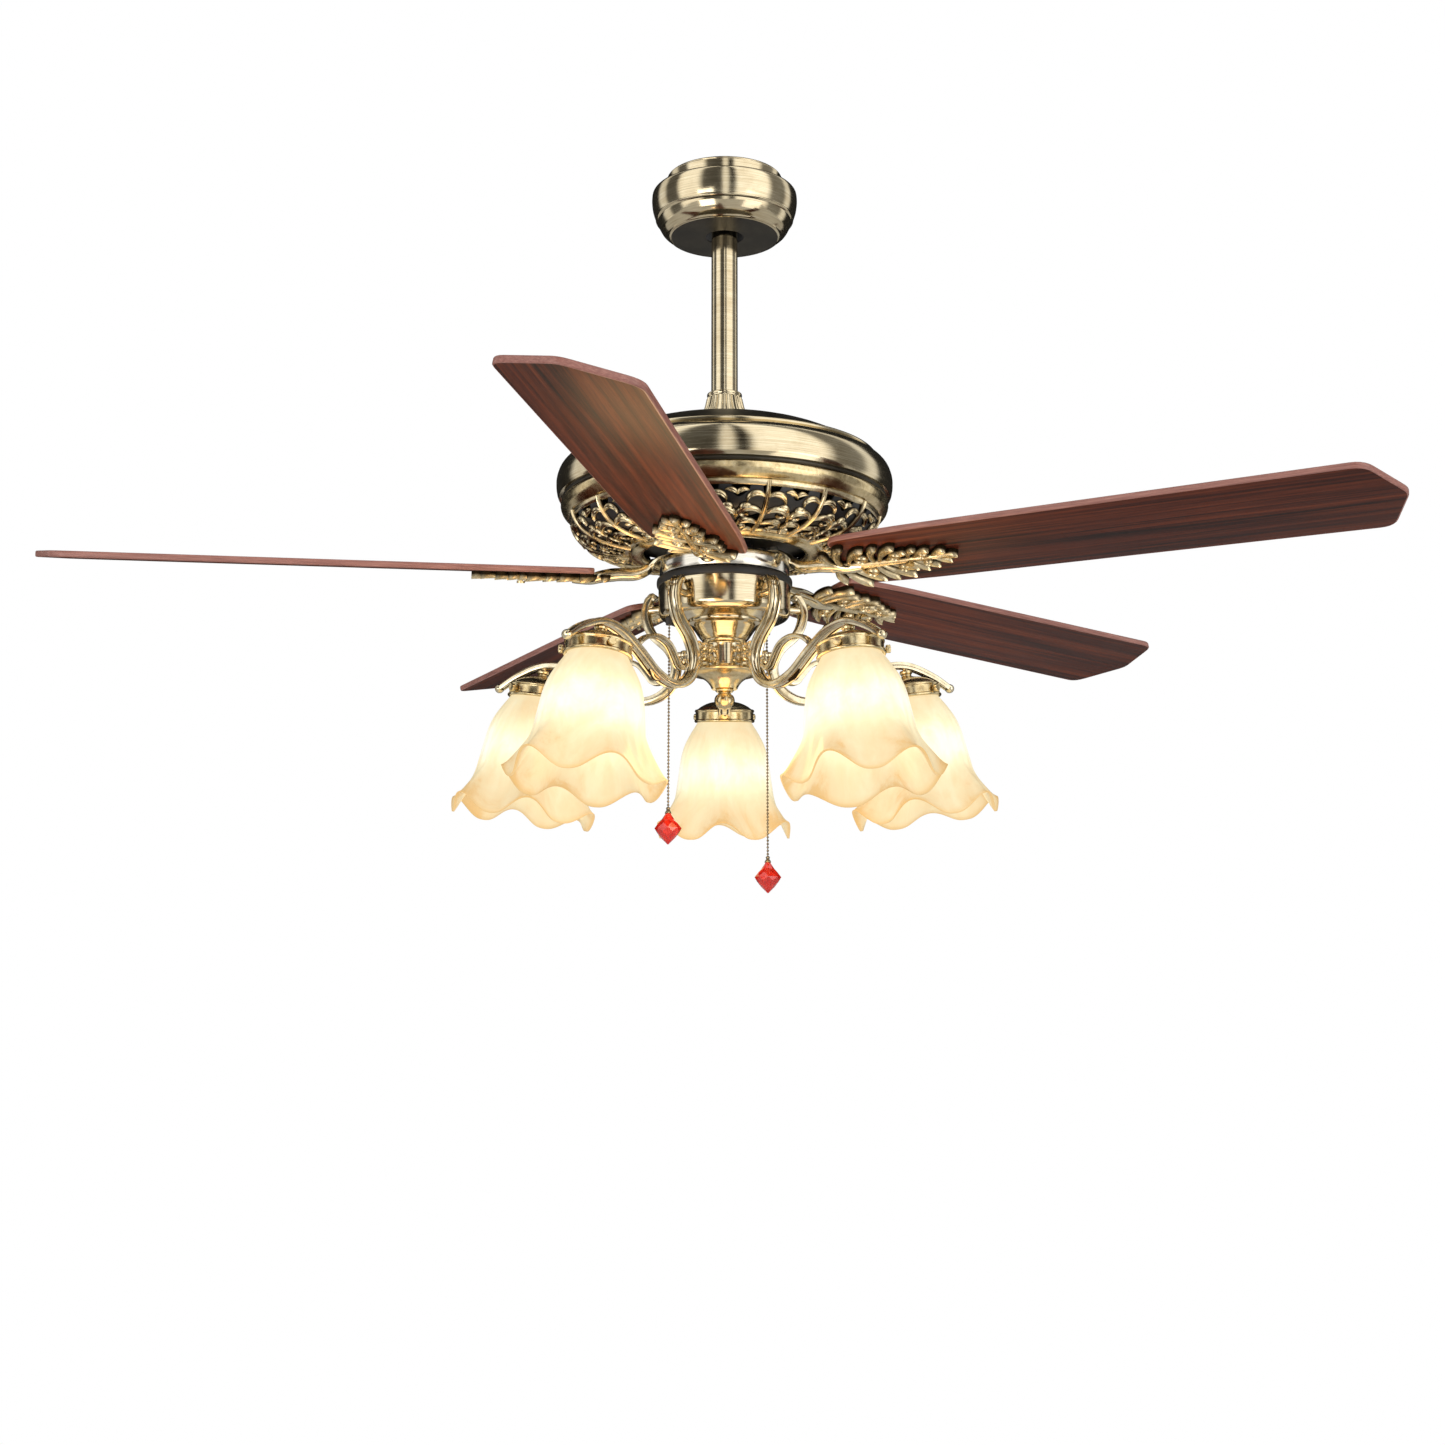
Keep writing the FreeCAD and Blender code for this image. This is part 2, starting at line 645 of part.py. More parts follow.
def make_iron():
    """Cast iron of one blade, drawn along +X: foot, curved bar, and the leaf under the blade."""
    side = [(32, 14), (64.2, 14), (64.2, -2.5), (68, -3), (73, -6.5), (84, -8.5), (105, -9), (131, -10),
            (180, -11), (236, -9), (243, -7), (240, -5.2), (128.5, -5.2), (127, 3), (120, 4), (92, 5),
            (78, 10), (70, 16.5), (64, 19), (32, 19)]
    width = size("iron_bar_width")
    edge = Part.makePolygon([Vector(x, -width / 2, z) for x, z in side + side[:1]])
    bar = Part.Face(edge).extrude(Vector(0, width, 0))
    half_leaf = [(122, 7), (131, 17), (129, 31), (139, 43), (153, 46), (161, 38), (158, 28), (171, 37),
                 (185, 42), (197, 37), (198, 26), (193, 17), (207, 23), (219, 23), (225, 15), (223, 9),
                 (235, 11), (243, 6)]
    outline = half_leaf + [(247, 0)] + [(x, -y) for x, y in half_leaf[::-1]]
    under_blade = -size("blade_thickness") / 2 - size("iron_thickness")
    leaf = smooth_plate(outline, size("iron_thickness"), under_blade)
    for x, y, radius in leaf_windows:
        for hand in (-1, 1):
            leaf = leaf.cut(Part.makeCylinder(radius, 20, Vector(x, hand * y, -15)))
    leaf.Placement = Placement(Vector(), Rotation(Vector(1, 0, 0), -size("blade_pitch")))
    for x in foot_screws:
        bar = bar.cut(Part.makeCylinder(2.6, 20, Vector(x, 0, 5)))
    iron = bar.fuse(leaf)
    for x, y in blade_screw_places:
        hole = Part.makeCylinder(2.1, 30, Vector(x, y, -20))
        hole.Placement = leaf.Placement
        iron = iron.cut(hole)
    return iron.removeSplitter()


iron_shape = make_iron()
for number, azimuth in enumerate(blade_azimuths, start=1):
    feature_of(f"blade_iron_{number}", iron_shape, True, Placement(Vector(), turned_to(azimuth)))


def make_blade(number, azimuth):
    """Plywood blade with square shoulders at the root and a shallow point at the tip."""
    half = "blade_half_width"
    root_half = "blade_root_half_width"
    tip = "sweep_radius"
    upper = [
        (cell(tip), 0),
        (cell(tip, 1, -24), cell(half, 1, -2.4), 0.12),
        (cell(tip, 1, -33), cell(half)),
        (cell("blade_root", 1, 66), cell(root_half, 1, 5), 0.02),
        (cell("blade_root", 1, 10), cell(root_half), 0.16),
        (cell("blade_root"), cell(root_half, 1, -12)),
    ]
    lower = [
        (cell("blade_root"), cell(root_half, -1, 12), 0.16),
        (cell("blade_root", 1, 10), cell(root_half, -1), 0.02),
        (cell("blade_root", 1, 66), cell(root_half, -1, -5)),
        (cell(tip, 1, -33), cell(half, -1), 0.12),
        (cell(tip, 1, -24), cell(half, -1, 2.4)),
    ]
    label = f"blade_{number}"
    body = padded(label, "XY_Plane", upper + lower, cell("blade_thickness"))
    add_holes(body, label + "_screw_holes", "XY_Plane", blade_screw_places, 2.1)
    body.Placement = Placement(Vector(0, 0, -size("ceiling_to_blades")),
                               turned_to(azimuth) * Rotation(Vector(1, 0, 0), -size("blade_pitch")))
    return keep(body, label, at_blades=True)


for number, azimuth in enumerate(blade_azimuths, start=1):
    make_blade(number, azimuth)

iron_screw = [screw(Vector(x, 0, flywheel_top - 4.5), Vector(0, 0, 1), 2.5, 9.5, 4.5, 3.0) for x in foot_screws]
feature_of("iron_screws", Part.makeCompound(around(Part.makeCompound(iron_screw), blade_azimuths)), at_blades=True)



def make_blade_screws():
    """Three screws of each blade, driven up through the leaf from below."""
    under_leaf = -size("blade_thickness") / 2 - size("iron_thickness")
    group = []
    for x, y in blade_screw_places:
        on_rib = y == 0
        bearing_face = under_leaf - rib_depth * on_rib
        length = blade_screw_length + rib_depth * on_rib
        tip = Vector(x, y, bearing_face + length)
        group.append(screw(tip, Vector(0, 0, -1), 2.0, length, 4.0, 2.2))
    three = Part.makeCompound(group)
    three.Placement = Placement(Vector(), Rotation(Vector(1, 0, 0), -size("blade_pitch")))
    return Part.makeCompound(around(three, blade_azimuths))


feature_of("blade_screws", make_blade_screws(), at_blades=True)


# ---------------------------------------------------------------- switch cup and centre column

turned("switch_plate", [
    (cell("shaft_radius"), -9),
    (58, -9),
    (58, -6),
    (cell("shaft_radius"), -6),
], at_blades=True)
turned("gasket_ring", [
    (58, -13),
    (cell("cup_radius"), -13, 0.2),
    (cell("cup_radius"), -4.5),
    (58, -4.5),
], at_blades=True)

light_cup = turned("light_cup", [
    (cell("cup_radius", 1, -skin), -13),
    (cell("cup_radius", 1, -skin), -35, -0.2),
    (57, -43.5),
    (36, -46.5),
    (33, -50, 0.12),
    (20, -63.5),
    (cell("column_radius", 1, -5), -63.5),
    (cell("column_radius", 1, -5), -66),
    (22, -66, -0.12),
    (34.6, -50.5),
    (36.5, -48),
    (58, -45, 0.2),
    (cell("cup_radius"), -35),
    (cell("cup_radius"), -13),
], at_blades=True)
doc.recompute()
chain_places = []
for chain in ("fan_chain", "light_chain"):
    spot = direction(size(chain + "_azimuth")) * size("chain_ring_radius")
    chain_places.append((spot.x, spot.y))
add_holes(light_cup, "light_cup_holes", "XY_Plane", chain_places, cell("switch_neck_radius", 1, 0.1))

turned("light_column", [
    (cell("column_radius", 1, -5), -66),
    (cell("column_radius", 1, -5), -96),
    (cell("column_radius", 1, 3), -96),
    (cell("column_radius", 1, 3), -94, -0.2),
    (cell("column_radius"), -90),
    (cell("column_radius"), -70, -0.2),
    (cell("column_radius", 1, 2.5), -67.5),
    (cell("column_radius", 1, 2.5), -66),
], at_blades=True)
turned("bottom_cap", [
    (0, -96),
    (0, -114),
    (11, -114),
    (12.5, -112, -0.16),
    (31, -100.5),
    (34, -99, 0.3),
    (34, -96),
], at_blades=True)
turned("finial", [
    (0, -134),
    (0, -114),
    (8, -114),
    (8, -116.5),
    (5, -118, -0.38),
    (3, -133.2),
], at_blades=True)


def make_switches():
    """Two pull switches: a round body inside the cup, and a bored neck that stands out below it."""
    group = []
    for x, y in chain_places:
        body = Part.makeCylinder(7.0, 20, Vector(x, y, -36))
        neck = Part.makeCylinder(size("switch_neck_radius"), 17, Vector(x, y, -52))
        bore = Part.makeCylinder(size("chain_radius") + 0.5, 26, Vector(x, y, -53))
        group.append(body.fuse(neck).cut(bore))
    return Part.makeCompound(group)


feature_of("pull_switches", make_switches(), at_blades=True)

capacitor = doc.addObject("Part::Box", "run_capacitor")
capacitor.Length = 42
capacitor.Width = 18
capacitor.Height = 24
capacitor.Placement.Base = Vector(-21, 16, 0)
capacitor.setExpression(".Placement.Base.z", "-dims.ceiling_to_blades - 36")
capacitor.Label = "run_capacitor"
sub_parts.append(capacitor)


# ---------------------------------------------------------------- arms

def band(points, half_thickness, width):
    """A strip that follows a smooth line in the XZ plane, thinner at both ends."""
    line = Part.BSplineCurve()
    line.interpolate([Vector(x, 0, z) for x, z in points])
    count = len(points)
    upper = []
    lower = []
    for index, (x, z) in enumerate(points):
        place = Vector(x, 0, z)
        along = line.tangent(line.parameter(place))[0]
        across = Vector(-along.z, 0, along.x)
        reach = half_thickness * (0.62 if index in (0, count - 1) else 1.0)
        upper.append(place + across * reach)
        lower.append(place - across * reach)
    edges = []
    for row_of_points in (upper, lower[::-1]):
        curve = Part.BSplineCurve()
        curve.interpolate(row_of_points)
        edges.append(curve.toShape())
    first_end = Part.LineSegment(upper[-1], lower[-1]).toShape()
    last_end = Part.LineSegment(lower[0], upper[0]).toShape()
    face = Part.Face(Part.Wire([edges[0], first_end, edges[1], last_end]))
    face.translate(Vector(0, -width / 2, 0))
    return face.extrude(Vector(0, width, 0))


def tilted_out(shape):
    """A shape drawn about the lamp's own axis, leaned outwards and carried to the end of the +X arm."""
    pivot = size("lamp_pivot")
    lean = Rotation(Vector(0, 1, 0), -size("lamp_tilt"))
    moved = shape.copy()
    moved.Placement = Placement(Vector(size("lamp_ring_radius"), 0, pivot), lean) \
        * Placement(Vector(0, 0, -pivot), Rotation())
    return moved


def make_arm():
    """One lamp arm along +X: scroll by the cup, belly by the column, rise to the lamp, and a tail."""
    main_line = [(72, -18), (81, -36), (75, -55), (57, -73), (50, -92), (59, -112), (81, -121.5),
                 (109, -115), (136, -98), (163, -83.5), (191, -79.5), (218, -88), (239, -101)]
    tendril = [(141, -95), (127, -84), (109, -79.5), (91, -84), (80, -96), (70, -103), (61, -99)]
    half = size("arm_thickness") / 2
    arm = band(main_line, half, size("arm_width"))
    arm = arm.fuse(band(tendril, half * 0.72, size("arm_width") * 0.7))
    cup_boss = rod_solid(Vector(size("cup_radius") + 0.1, 0, -30), Vector(1, 0, 0), 4.0, 14)
    arm = arm.fuse(cup_boss)
    for height in (-77, -87):
        arm = arm.fuse(rod_solid(Vector(size("column_radius") + 0.1, 0, height), Vector(1, 0, 0), 3.0, 36))
    stud_hole = Part.makeCylinder(stud_radius + 0.1, 20, Vector(0, 0, size("lamp_pivot") - 6))
    return arm.cut(tilted_out(stud_hole)).removeSplitter()


arm_shape = make_arm()
for number, azimuth in enumerate(lamp_azimuths, start=1):
    feature_of(f"arm_{number}", arm_shape, True, Placement(Vector(), turned_to(azimuth)))


# ---------------------------------------------------------------- lamps

def lathe(corners):
    """A solid turned about local Z from straight-edged (radius, height) corners."""
    outline = Part.makePolygon([Vector(radius, 0, height) for radius, height in corners + corners[:1]])
    return Part.Face(outline).revolve(Vector(), Vector(0, 0, 1), 360)


def at_lamps(shape):
    """A copy of a shape, drawn about its own axis, at each lamp."""
    return Part.makeCompound(around(tilted_out(shape), lamp_azimuths))


def make_fitter():
    """Spun holder of one shade, with the stud that joins it to the arm and three screw holes."""
    radius = size("fitter_radius")
    rim = size("fitter_rim")
    top = size("lamp_pivot") - 1.8
    fitter = lathe([(0, top + 5.5), (stud_radius, top + 5.5), (stud_radius, top), (5.5, top), (5.5, -90),
                    (11, -92), (22, -95.5), (29, -100), (radius, -101.5),
                    (radius, rim), (radius - 1.8, rim), (radius - 1.8, -102), (28, -102), (0, -102)])
    for azimuth in thumb_screw_azimuths:
        hole_start = direction(azimuth) * (radius - 4) + Vector(0, 0, rim + thumb_screw_drop)
        fitter = fitter.cut(rod_solid(hole_start, direction(azimuth), 1.6, 8))
    return fitter


def make_thumb_screws():
    screws = []
    for azimuth in thumb_screw_azimuths:
        tip = direction(azimuth) * (size("shade_neck_radius") + 0.1)
        tip.z = size("fitter_rim") + thumb_screw_drop
        screws.append(screw(tip, direction(azimuth), 1.5, 4.4, 3.6, 4.0))
    return Part.makeCompound(screws)


feature_of("fitters", at_lamps(make_fitter()), at_blades=True)
feature_of("thumb_screws", at_lamps(make_thumb_screws()), at_blades=True)

socket = lathe([(0, -102), (16, -102), (16, -134), (13.3, -134), (13.3, -106), (0, -106)])
feature_of("lamp_sockets", at_lamps(socket), at_blades=True)

bulb_centre = -163.0
bulb_radius = 24.0


def make_bulb():
    cap = Part.makeCylinder(13.0, 28, Vector(0, 0, -134.5))
    neck = Part.makeCone(21.0, 13.0, 19, Vector(0, 0, -153.5))
    globe = Part.makeSphere(bulb_radius, Vector(0, 0, bulb_centre))
    return cap.fuse(neck).fuse(globe).removeSplitter()


feature_of("bulbs", at_lamps(make_bulb()), at_blades=True)


def shade_ring(depth, radius, ruffle):
    """A closed smooth ring whose radius swells once for each petal."""
    petals = int(size("shade_petals"))
    count = petals * 4
    points = []
    for index in range(count):
        angle = 2 * math.pi * index / count
        reach = radius + ruffle * math.cos(petals * angle)
        points.append(Vector(reach * math.cos(angle), reach * math.sin(angle), size("shade_top") - depth))
    curve = Part.BSplineCurve()
    curve.interpolate(Points=points, PeriodicFlag=True)
    return Part.Wire([curve.toShape()])


def make_shade():
    """Tulip glass: round neck, rounded body, and a flared rim that ruffles and is scalloped into petals."""
    neck = size("shade_neck_radius")
    rim = size("shade_rim_radius")
    height = size("shade_height")
    thickness = size("shade_wall")
    bell = [(0, neck, 0), (0.075, neck, 0), (0.17, neck + 7.5, 0), (0.26, neck + 13.5, 0), (0.36, neck + 17.5, 0.1),
            (0.50, neck + 20.3, 0.4), (0.62, neck + 22.5, 1.2), (0.72, neck + 29, 3.0), (0.82, rim - 7, 5.4),
            (0.92, rim - 2, 6.2), (1.0, rim, 6.5)]
    outer = Part.makeLoft([shade_ring(height * part, radius, ruffle) for part, radius, ruffle in bell], True)
    hollow = [(-0.01, neck - thickness, 0)]
    hollow += [(part, radius - thickness, ruffle) for part, radius, ruffle in bell[1:-1]]
    hollow += [(1.01, rim - thickness + 0.3, 6.5)]
    inner = Part.makeLoft([shade_ring(height * part, radius, ruffle) for part, radius, ruffle in hollow], True)
    scallop_radius = 27.0
    scallop_depth = 20.0
    scallop = rod_solid(Vector(40, 0, size("shade_top") - height + scallop_depth - scallop_radius),
                        Vector(1, 0, 0), scallop_radius, 60)
    petals = int(size("shade_petals"))
    scallops = around(scallop, [90 + 360 / petals * index for index in range(petals)])
    return outer.cut(inner).cut(scallops)


shade_shape = make_shade()
for number, azimuth in enumerate(lamp_azimuths, start=1):
    feature_of(f"shade_{number}", Part.makeCompound([tilted_out(shade_shape)]), True,
               Placement(Vector(), turned_to(azimuth)))


# ---------------------------------------------------------------- pull chains

def make_pendant():
    """Cut-glass drop: eight-sided, drawn in at the top and pointed below, with a small cap on it."""
    radius = size("pendant_radius")
    height = size("pendant_height")
    cap_height = 5.0
    rings = [(2.0, -cap_height), (3.4, -cap_height - 3), (radius * 0.55, -cap_height - 9),
             (radius, -height * 0.56), (radius * 0.86, -height * 0.66), (0.6, -height)]
    sections = []
    for reach, depth in rings:
        corners = [Vector(reach * math.cos(math.pi * k / 4), reach * math.sin(math.pi * k / 4), depth)
                   for k in range(9)]
        sections.append(Part.makePolygon(corners))
    crystal = Part.makeLoft(sections, True, True)
    cap = Part.makeCylinder(2.0, cap_height, Vector(0, 0, -cap_height))
    return crystal.fuse(cap)


for chain, pendant in (("fan_chain", "fan_pendant"), ("light_chain", "light_pendant")):
    spot = direction(size(chain + "_azimuth")) * size("chain_ring_radius")
    links = doc.addObject("Part::Cylinder", chain)
    links.setExpression("Radius", "dims.chain_radius")
    links.setExpression("Height", f"dims.{chain}_length")
    links.Placement.Base = spot
    links.setExpression(".Placement.Base.z", f"dims.chain_top - dims.ceiling_to_blades - dims.{chain}_length")
    links.Label = chain
    sub_parts.append(links)
    hang = Placement(Vector(spot.x, spot.y, size("chain_top") - size("ceiling_to_blades")
                            - size(chain + "_length")), Rotation())
    feature_of(pendant, make_pendant(), placement=hang)


# ---------------------------------------------------------------- report of the build

def finish():
    doc.recompute()
    os.makedirs("parts", exist_ok=True)
    for thing in doc.Objects:
        if "Invalid" in thing.State or "Error" in thing.State:
            raise RuntimeError(f"{thing.Label} did not build: {thing.State}")
    for piece in sub_parts:
        shape = piece.Shape
        if shape.isNull() or not shape.isValid() or not shape.Solids:
            raise RuntimeError(f"{piece.Label} has no sound solid")
        print(f"{piece.Label}: {len(shape.Solids)} solid, {shape.Volume / 1000:.1f} cm3")
    for piece in sub_parts:
        piece.Shape.exportStep(f"parts/{piece.Label}.step")
    print(f"{len(sub_parts)} sub-parts written")


finish()
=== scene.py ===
import json
import math

import bmesh
import bpy
import numpy as np
from mathutils import Matrix, Vector


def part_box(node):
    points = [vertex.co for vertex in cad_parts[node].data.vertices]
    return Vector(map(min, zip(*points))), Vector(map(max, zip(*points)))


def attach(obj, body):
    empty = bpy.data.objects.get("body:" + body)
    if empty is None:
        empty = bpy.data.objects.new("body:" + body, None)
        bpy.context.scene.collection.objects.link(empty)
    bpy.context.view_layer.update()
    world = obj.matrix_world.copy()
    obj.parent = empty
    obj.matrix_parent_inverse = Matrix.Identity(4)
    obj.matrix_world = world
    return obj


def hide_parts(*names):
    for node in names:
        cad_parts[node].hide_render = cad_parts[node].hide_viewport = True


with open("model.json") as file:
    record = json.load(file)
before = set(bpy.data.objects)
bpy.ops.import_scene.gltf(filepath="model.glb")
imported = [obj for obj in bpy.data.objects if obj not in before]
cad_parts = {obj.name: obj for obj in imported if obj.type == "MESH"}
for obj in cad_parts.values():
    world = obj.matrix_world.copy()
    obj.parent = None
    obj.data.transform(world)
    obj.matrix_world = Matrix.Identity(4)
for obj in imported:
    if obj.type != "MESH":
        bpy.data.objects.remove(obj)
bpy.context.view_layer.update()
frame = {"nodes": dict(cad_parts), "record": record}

MM = 0.001

# ---------- places: the blade plane comes from the frame, the rest are millimetres and degrees
FLYWHEEL_DROP = 3.0
BLADE_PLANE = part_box("flywheel")[0].z + FLYWHEEL_DROP * MM
LAMPS = 5
BLADES = 5
FIRST_LAMP = 36.0
FIRST_BLADE = 61.8
BLADE_PITCH = 12.8
LAMP_RING = 191.0
LAMP_PIVOT = -83.0
LAMP_TILT = 8.0
LAMP_AZIMUTHS = [FIRST_LAMP + 360 / LAMPS * k for k in range(LAMPS)]
BLADE_AZIMUTHS = [FIRST_BLADE + 360 / BLADES * k for k in range(BLADES)]

# ---------- camera
CAMERA_DISTANCE = 2.158
CAMERA_RISE = math.radians(13.45)
camera_data = bpy.data.cameras.new("camera")
camera_data.lens = 54.5
camera_data.sensor_width = 36.0
camera_data.shift_x = -0.0014
camera_data.shift_y = -0.1016
camera = bpy.data.objects.new("camera", camera_data)
camera.location = (0, -CAMERA_DISTANCE * math.cos(CAMERA_RISE),
                   BLADE_PLANE - CAMERA_DISTANCE * math.sin(CAMERA_RISE))
camera.rotation_euler = (math.pi / 2 + CAMERA_RISE, 0, 0)
bpy.context.collection.objects.link(camera)
bpy.context.scene.camera = camera
bpy.context.scene.view_settings.view_transform = "Standard"


# ---------- node helpers

MATERIALS = {}


def add_node(tree, kind, **settings):
    """A new node; each setting goes to the input of that name, or else to the node's own attribute."""
    node = tree.nodes.new(kind)
    for key, value in settings.items():
        if key in node.inputs:
            node.inputs[key].default_value = value
        else:
            setattr(node, key, value)
    return node


def fill_ramp(ramp, stops):
    """Gives a colour ramp its stops: (position, (red, green, blue))."""
    elements = ramp.color_ramp.elements
    while len(elements) < len(stops):
        elements.new(0.5)
    for element, (position, colour) in zip(elements, stops):
        element.position = position
        element.color = (*colour, 1.0)


class Nodes:
    """Short hand for building one material's node tree; the material is kept in MATERIALS under its name."""

    def __init__(self, name):
        self.material = bpy.data.materials.new(name)
        MATERIALS[name] = self.material
        self.material.use_nodes = True
        self.tree = self.material.node_tree
        self.shader = self.tree.nodes["Principled BSDF"]

    def add(self, kind, **settings):
        return add_node(self.tree, kind, **settings)

    def link(self, source, target):
        self.tree.links.new(source, target)

    def place(self, scale=(1, 1, 1), attribute=None):
        """Coordinates in metres, from the object or from a named attribute, stretched by scale."""
        if attribute:
            source = self.add("ShaderNodeAttribute", attribute_name=attribute).outputs["Vector"]
        else:
            source = self.add("ShaderNodeTexCoord").outputs["Object"]
        mapping = self.add("ShaderNodeMapping")
        mapping.inputs["Scale"].default_value = scale
        self.link(source, mapping.inputs["Vector"])
        return mapping.outputs["Vector"]

    def noise(self, vector, scale, detail=4.0, roughness=0.55, distortion=0.0):
        node = self.add("ShaderNodeTexNoise", Scale=scale, Detail=detail, Roughness=roughness,
                        Distortion=distortion)
        self.link(vector, node.inputs["Vector"])
        return node.outputs["Fac"]

    def ramp(self, factor, stops):
        node = self.add("ShaderNodeValToRGB")
        fill_ramp(node, stops)
        self.link(factor, node.inputs["Fac"])
        return node.outputs["Color"]

    def grey(self, factor, low, high, start=0.0, end=1.0):
        node = self.add("ShaderNodeMapRange", **{"From Min": start, "From Max": end,
                                                 "To Min": low, "To Max": high})
        self.link(factor, node.inputs["Value"])
        return node.outputs["Result"]

    def mix(self, factor, first, second, blend="MIX"):
        node = self.add("ShaderNodeMix", data_type="RGBA", blend_type=blend)
        pairs = ((node.inputs["Factor"], factor), (node.inputs[6], first), (node.inputs[7], second))
        for socket, value in pairs:
            if isinstance(value, (int, float)):
                socket.default_value = value
            elif isinstance(value, tuple):
                socket.default_value = (*value, 1.0)
            else:
                self.link(value, socket)
        return node.outputs[2]

    def bump(self, height, strength, distance=0.001):
        node = self.add("ShaderNodeBump", Strength=strength, Distance=distance)
        self.link(height, node.inputs["Height"])
        self.link(node.outputs["Normal"], self.shader.inputs["Normal"])

    def set(self, **values):
        for key, value in values.items():
            socket = self.shader.inputs[key.replace("_", " ")]
            if hasattr(value, "is_linked") or hasattr(value, "links"):
                self.link(value, socket)
            elif isinstance(value, tuple) and len(value) == 3:
                socket.default_value = (*value, 1.0)
            else:
                socket.default_value = value


def plated(name, dark, middle, light, roughness=(0.16, 0.34), streak=(60, 60, 900), bump=0.12, patina=None,
           relief=False):
    """Brushed metal, unevenly polished, with a darker patina in patches; with relief, hollows get painted
    shade.
    """
    n = Nodes(name)
    streaks = n.noise(n.place(streak), 1.0, 3.0, 0.6)
    patches = n.noise(n.place(), 34.0, 5.0, 0.6)
    fine = n.noise(n.place(), 420.0, 3.0, 0.7)
    colour = n.ramp(streaks, [(0.28, dark), (0.5, middle), (0.74, light)])
    worn = n.ramp(patches, [(0.30, patina or dark), (0.58, light)])
    surface = n.mix(0.30, colour, worn)
    polish = n.grey(n.mix(0.5, streaks, patches), *roughness, 0.3, 0.7)
    # Painted shade, with some dark patina: where the relief attribute is low, in hollows, the colour runs to
    # near-black.
    if relief:
        proud = n.add("ShaderNodeAttribute", attribute_name="relief").outputs["Fac"]
        height = n.add("ShaderNodeMath", operation="ADD")
        n.link(proud, height.inputs[0])
        n.link(n.grey(patches, -0.22, 0.12, 0.3, 0.7), height.inputs[1])
        cover = n.grey(height.outputs[0], 0.0, 1.0, 0.16, 0.62)
        surface = n.mix(cover, (0.030, 0.020, 0.010), surface)
        polish = n.grey(cover, 0.62, sum(roughness) / 2)
    n.set(Metallic=1.0, Base_Color=surface, Roughness=polish)
    n.bump(n.mix(0.5, streaks, fine), bump, 0.0004)


# ---------- materials

def rest_of_slots():
    """The plain working metals, plastics and ceramics of the pieces that are mostly hidden."""
    plated("zinc_steel", (0.36, 0.36, 0.35), (0.55, 0.55, 0.53), (0.70, 0.70, 0.67), (0.25, 0.45),
           (300, 300, 300), 0.15)
    plated("lamination_steel", (0.07, 0.07, 0.08), (0.16, 0.16, 0.17), (0.24, 0.24, 0.25), (0.4, 0.6),
           (8, 8, 1800), 0.5)
    plated("copper_winding", (0.35, 0.10, 0.03), (0.66, 0.27, 0.10), (0.85, 0.42, 0.20), (0.2, 0.4),
           (900, 900, 40), 0.4)
    for name, base, rough in (("black_enamel", (0.012, 0.012, 0.013), 0.38),
                              ("black_rubber", (0.01, 0.01, 0.01), 0.55),
                              ("black_nylon", (0.02, 0.02, 0.022), 0.48)):
        n = Nodes(name)
        grain = n.noise(n.place(), 700.0, 4.0, 0.6)
        cloud = n.noise(n.place(), 30.0, 3.0, 0.5)
        lighter = tuple(channel * 2.2 for channel in base)
        n.set(Base_Color=n.ramp(cloud, [(0.3, base), (0.7, lighter)]),
              Roughness=n.grey(cloud, rough - 0.08, rough + 0.08))
        n.bump(grain, 0.15, 0.0003)
    n = Nodes("white_ceramic")
    cloud = n.noise(n.place(), 60.0, 3.0, 0.5)
    n.set(Base_Color=n.ramp(cloud, [(0.3, (0.78, 0.76, 0.70)), (0.7, (0.88, 0.86, 0.82))]), Roughness=0.25,
          Coat_Weight=0.5)
    n.bump(cloud, 0.05)
    n = Nodes("lamp_glass")
    cloud = n.noise(n.place(), 40.0, 2.0, 0.5)
    n.set(Base_Color=(1.0, 0.96, 0.88), Roughness=0.3,
          Emission_Color=n.ramp(cloud, [(0.2, (1.0, 0.90, 0.70)), (0.8, (1.0, 0.95, 0.82))]),
          Emission_Strength=4.5)


rest_of_slots()
plated("antique_brass", (0.42, 0.335, 0.20), (0.60, 0.495, 0.32), (0.80, 0.72, 0.53), (0.08, 0.19),
       (22, 22, 1300), 0.05, (0.38, 0.30, 0.18))
plated("gilt_brass", (0.42, 0.30, 0.14), (0.68, 0.53, 0.28), (0.86, 0.73, 0.46), (0.14, 0.28),
       (220, 220, 220), 0.14, (0.24, 0.17, 0.08))
plated("gilt_relief", (0.44, 0.33, 0.17), (0.70, 0.56, 0.33), (0.90, 0.79, 0.55), (0.16, 0.30),
       (220, 220, 220), 0.16, (0.26, 0.18, 0.09), relief=True)
plated("polished_gold", (0.52, 0.42, 0.25), (0.74, 0.64, 0.44), (0.90, 0.82, 0.62), (0.08, 0.18),
       (120, 120, 120), 0.05, (0.40, 0.30, 0.16), relief=True)
plated("dark_bronze", (0.030, 0.027, 0.022), (0.065, 0.058, 0.046), (0.12, 0.108, 0.086), (0.34, 0.50),
       (22, 22, 900), 0.08)
plated("pale_nickel", (0.46, 0.43, 0.37), (0.66, 0.63, 0.56), (0.82, 0.79, 0.72), (0.10, 0.20),
       (14, 14, 1800), 0.08)
plated("chain_metal", (0.08, 0.065, 0.05), (0.20, 0.17, 0.12), (0.36, 0.30, 0.22), (0.2, 0.35),
       (400, 400, 400), 0.1)


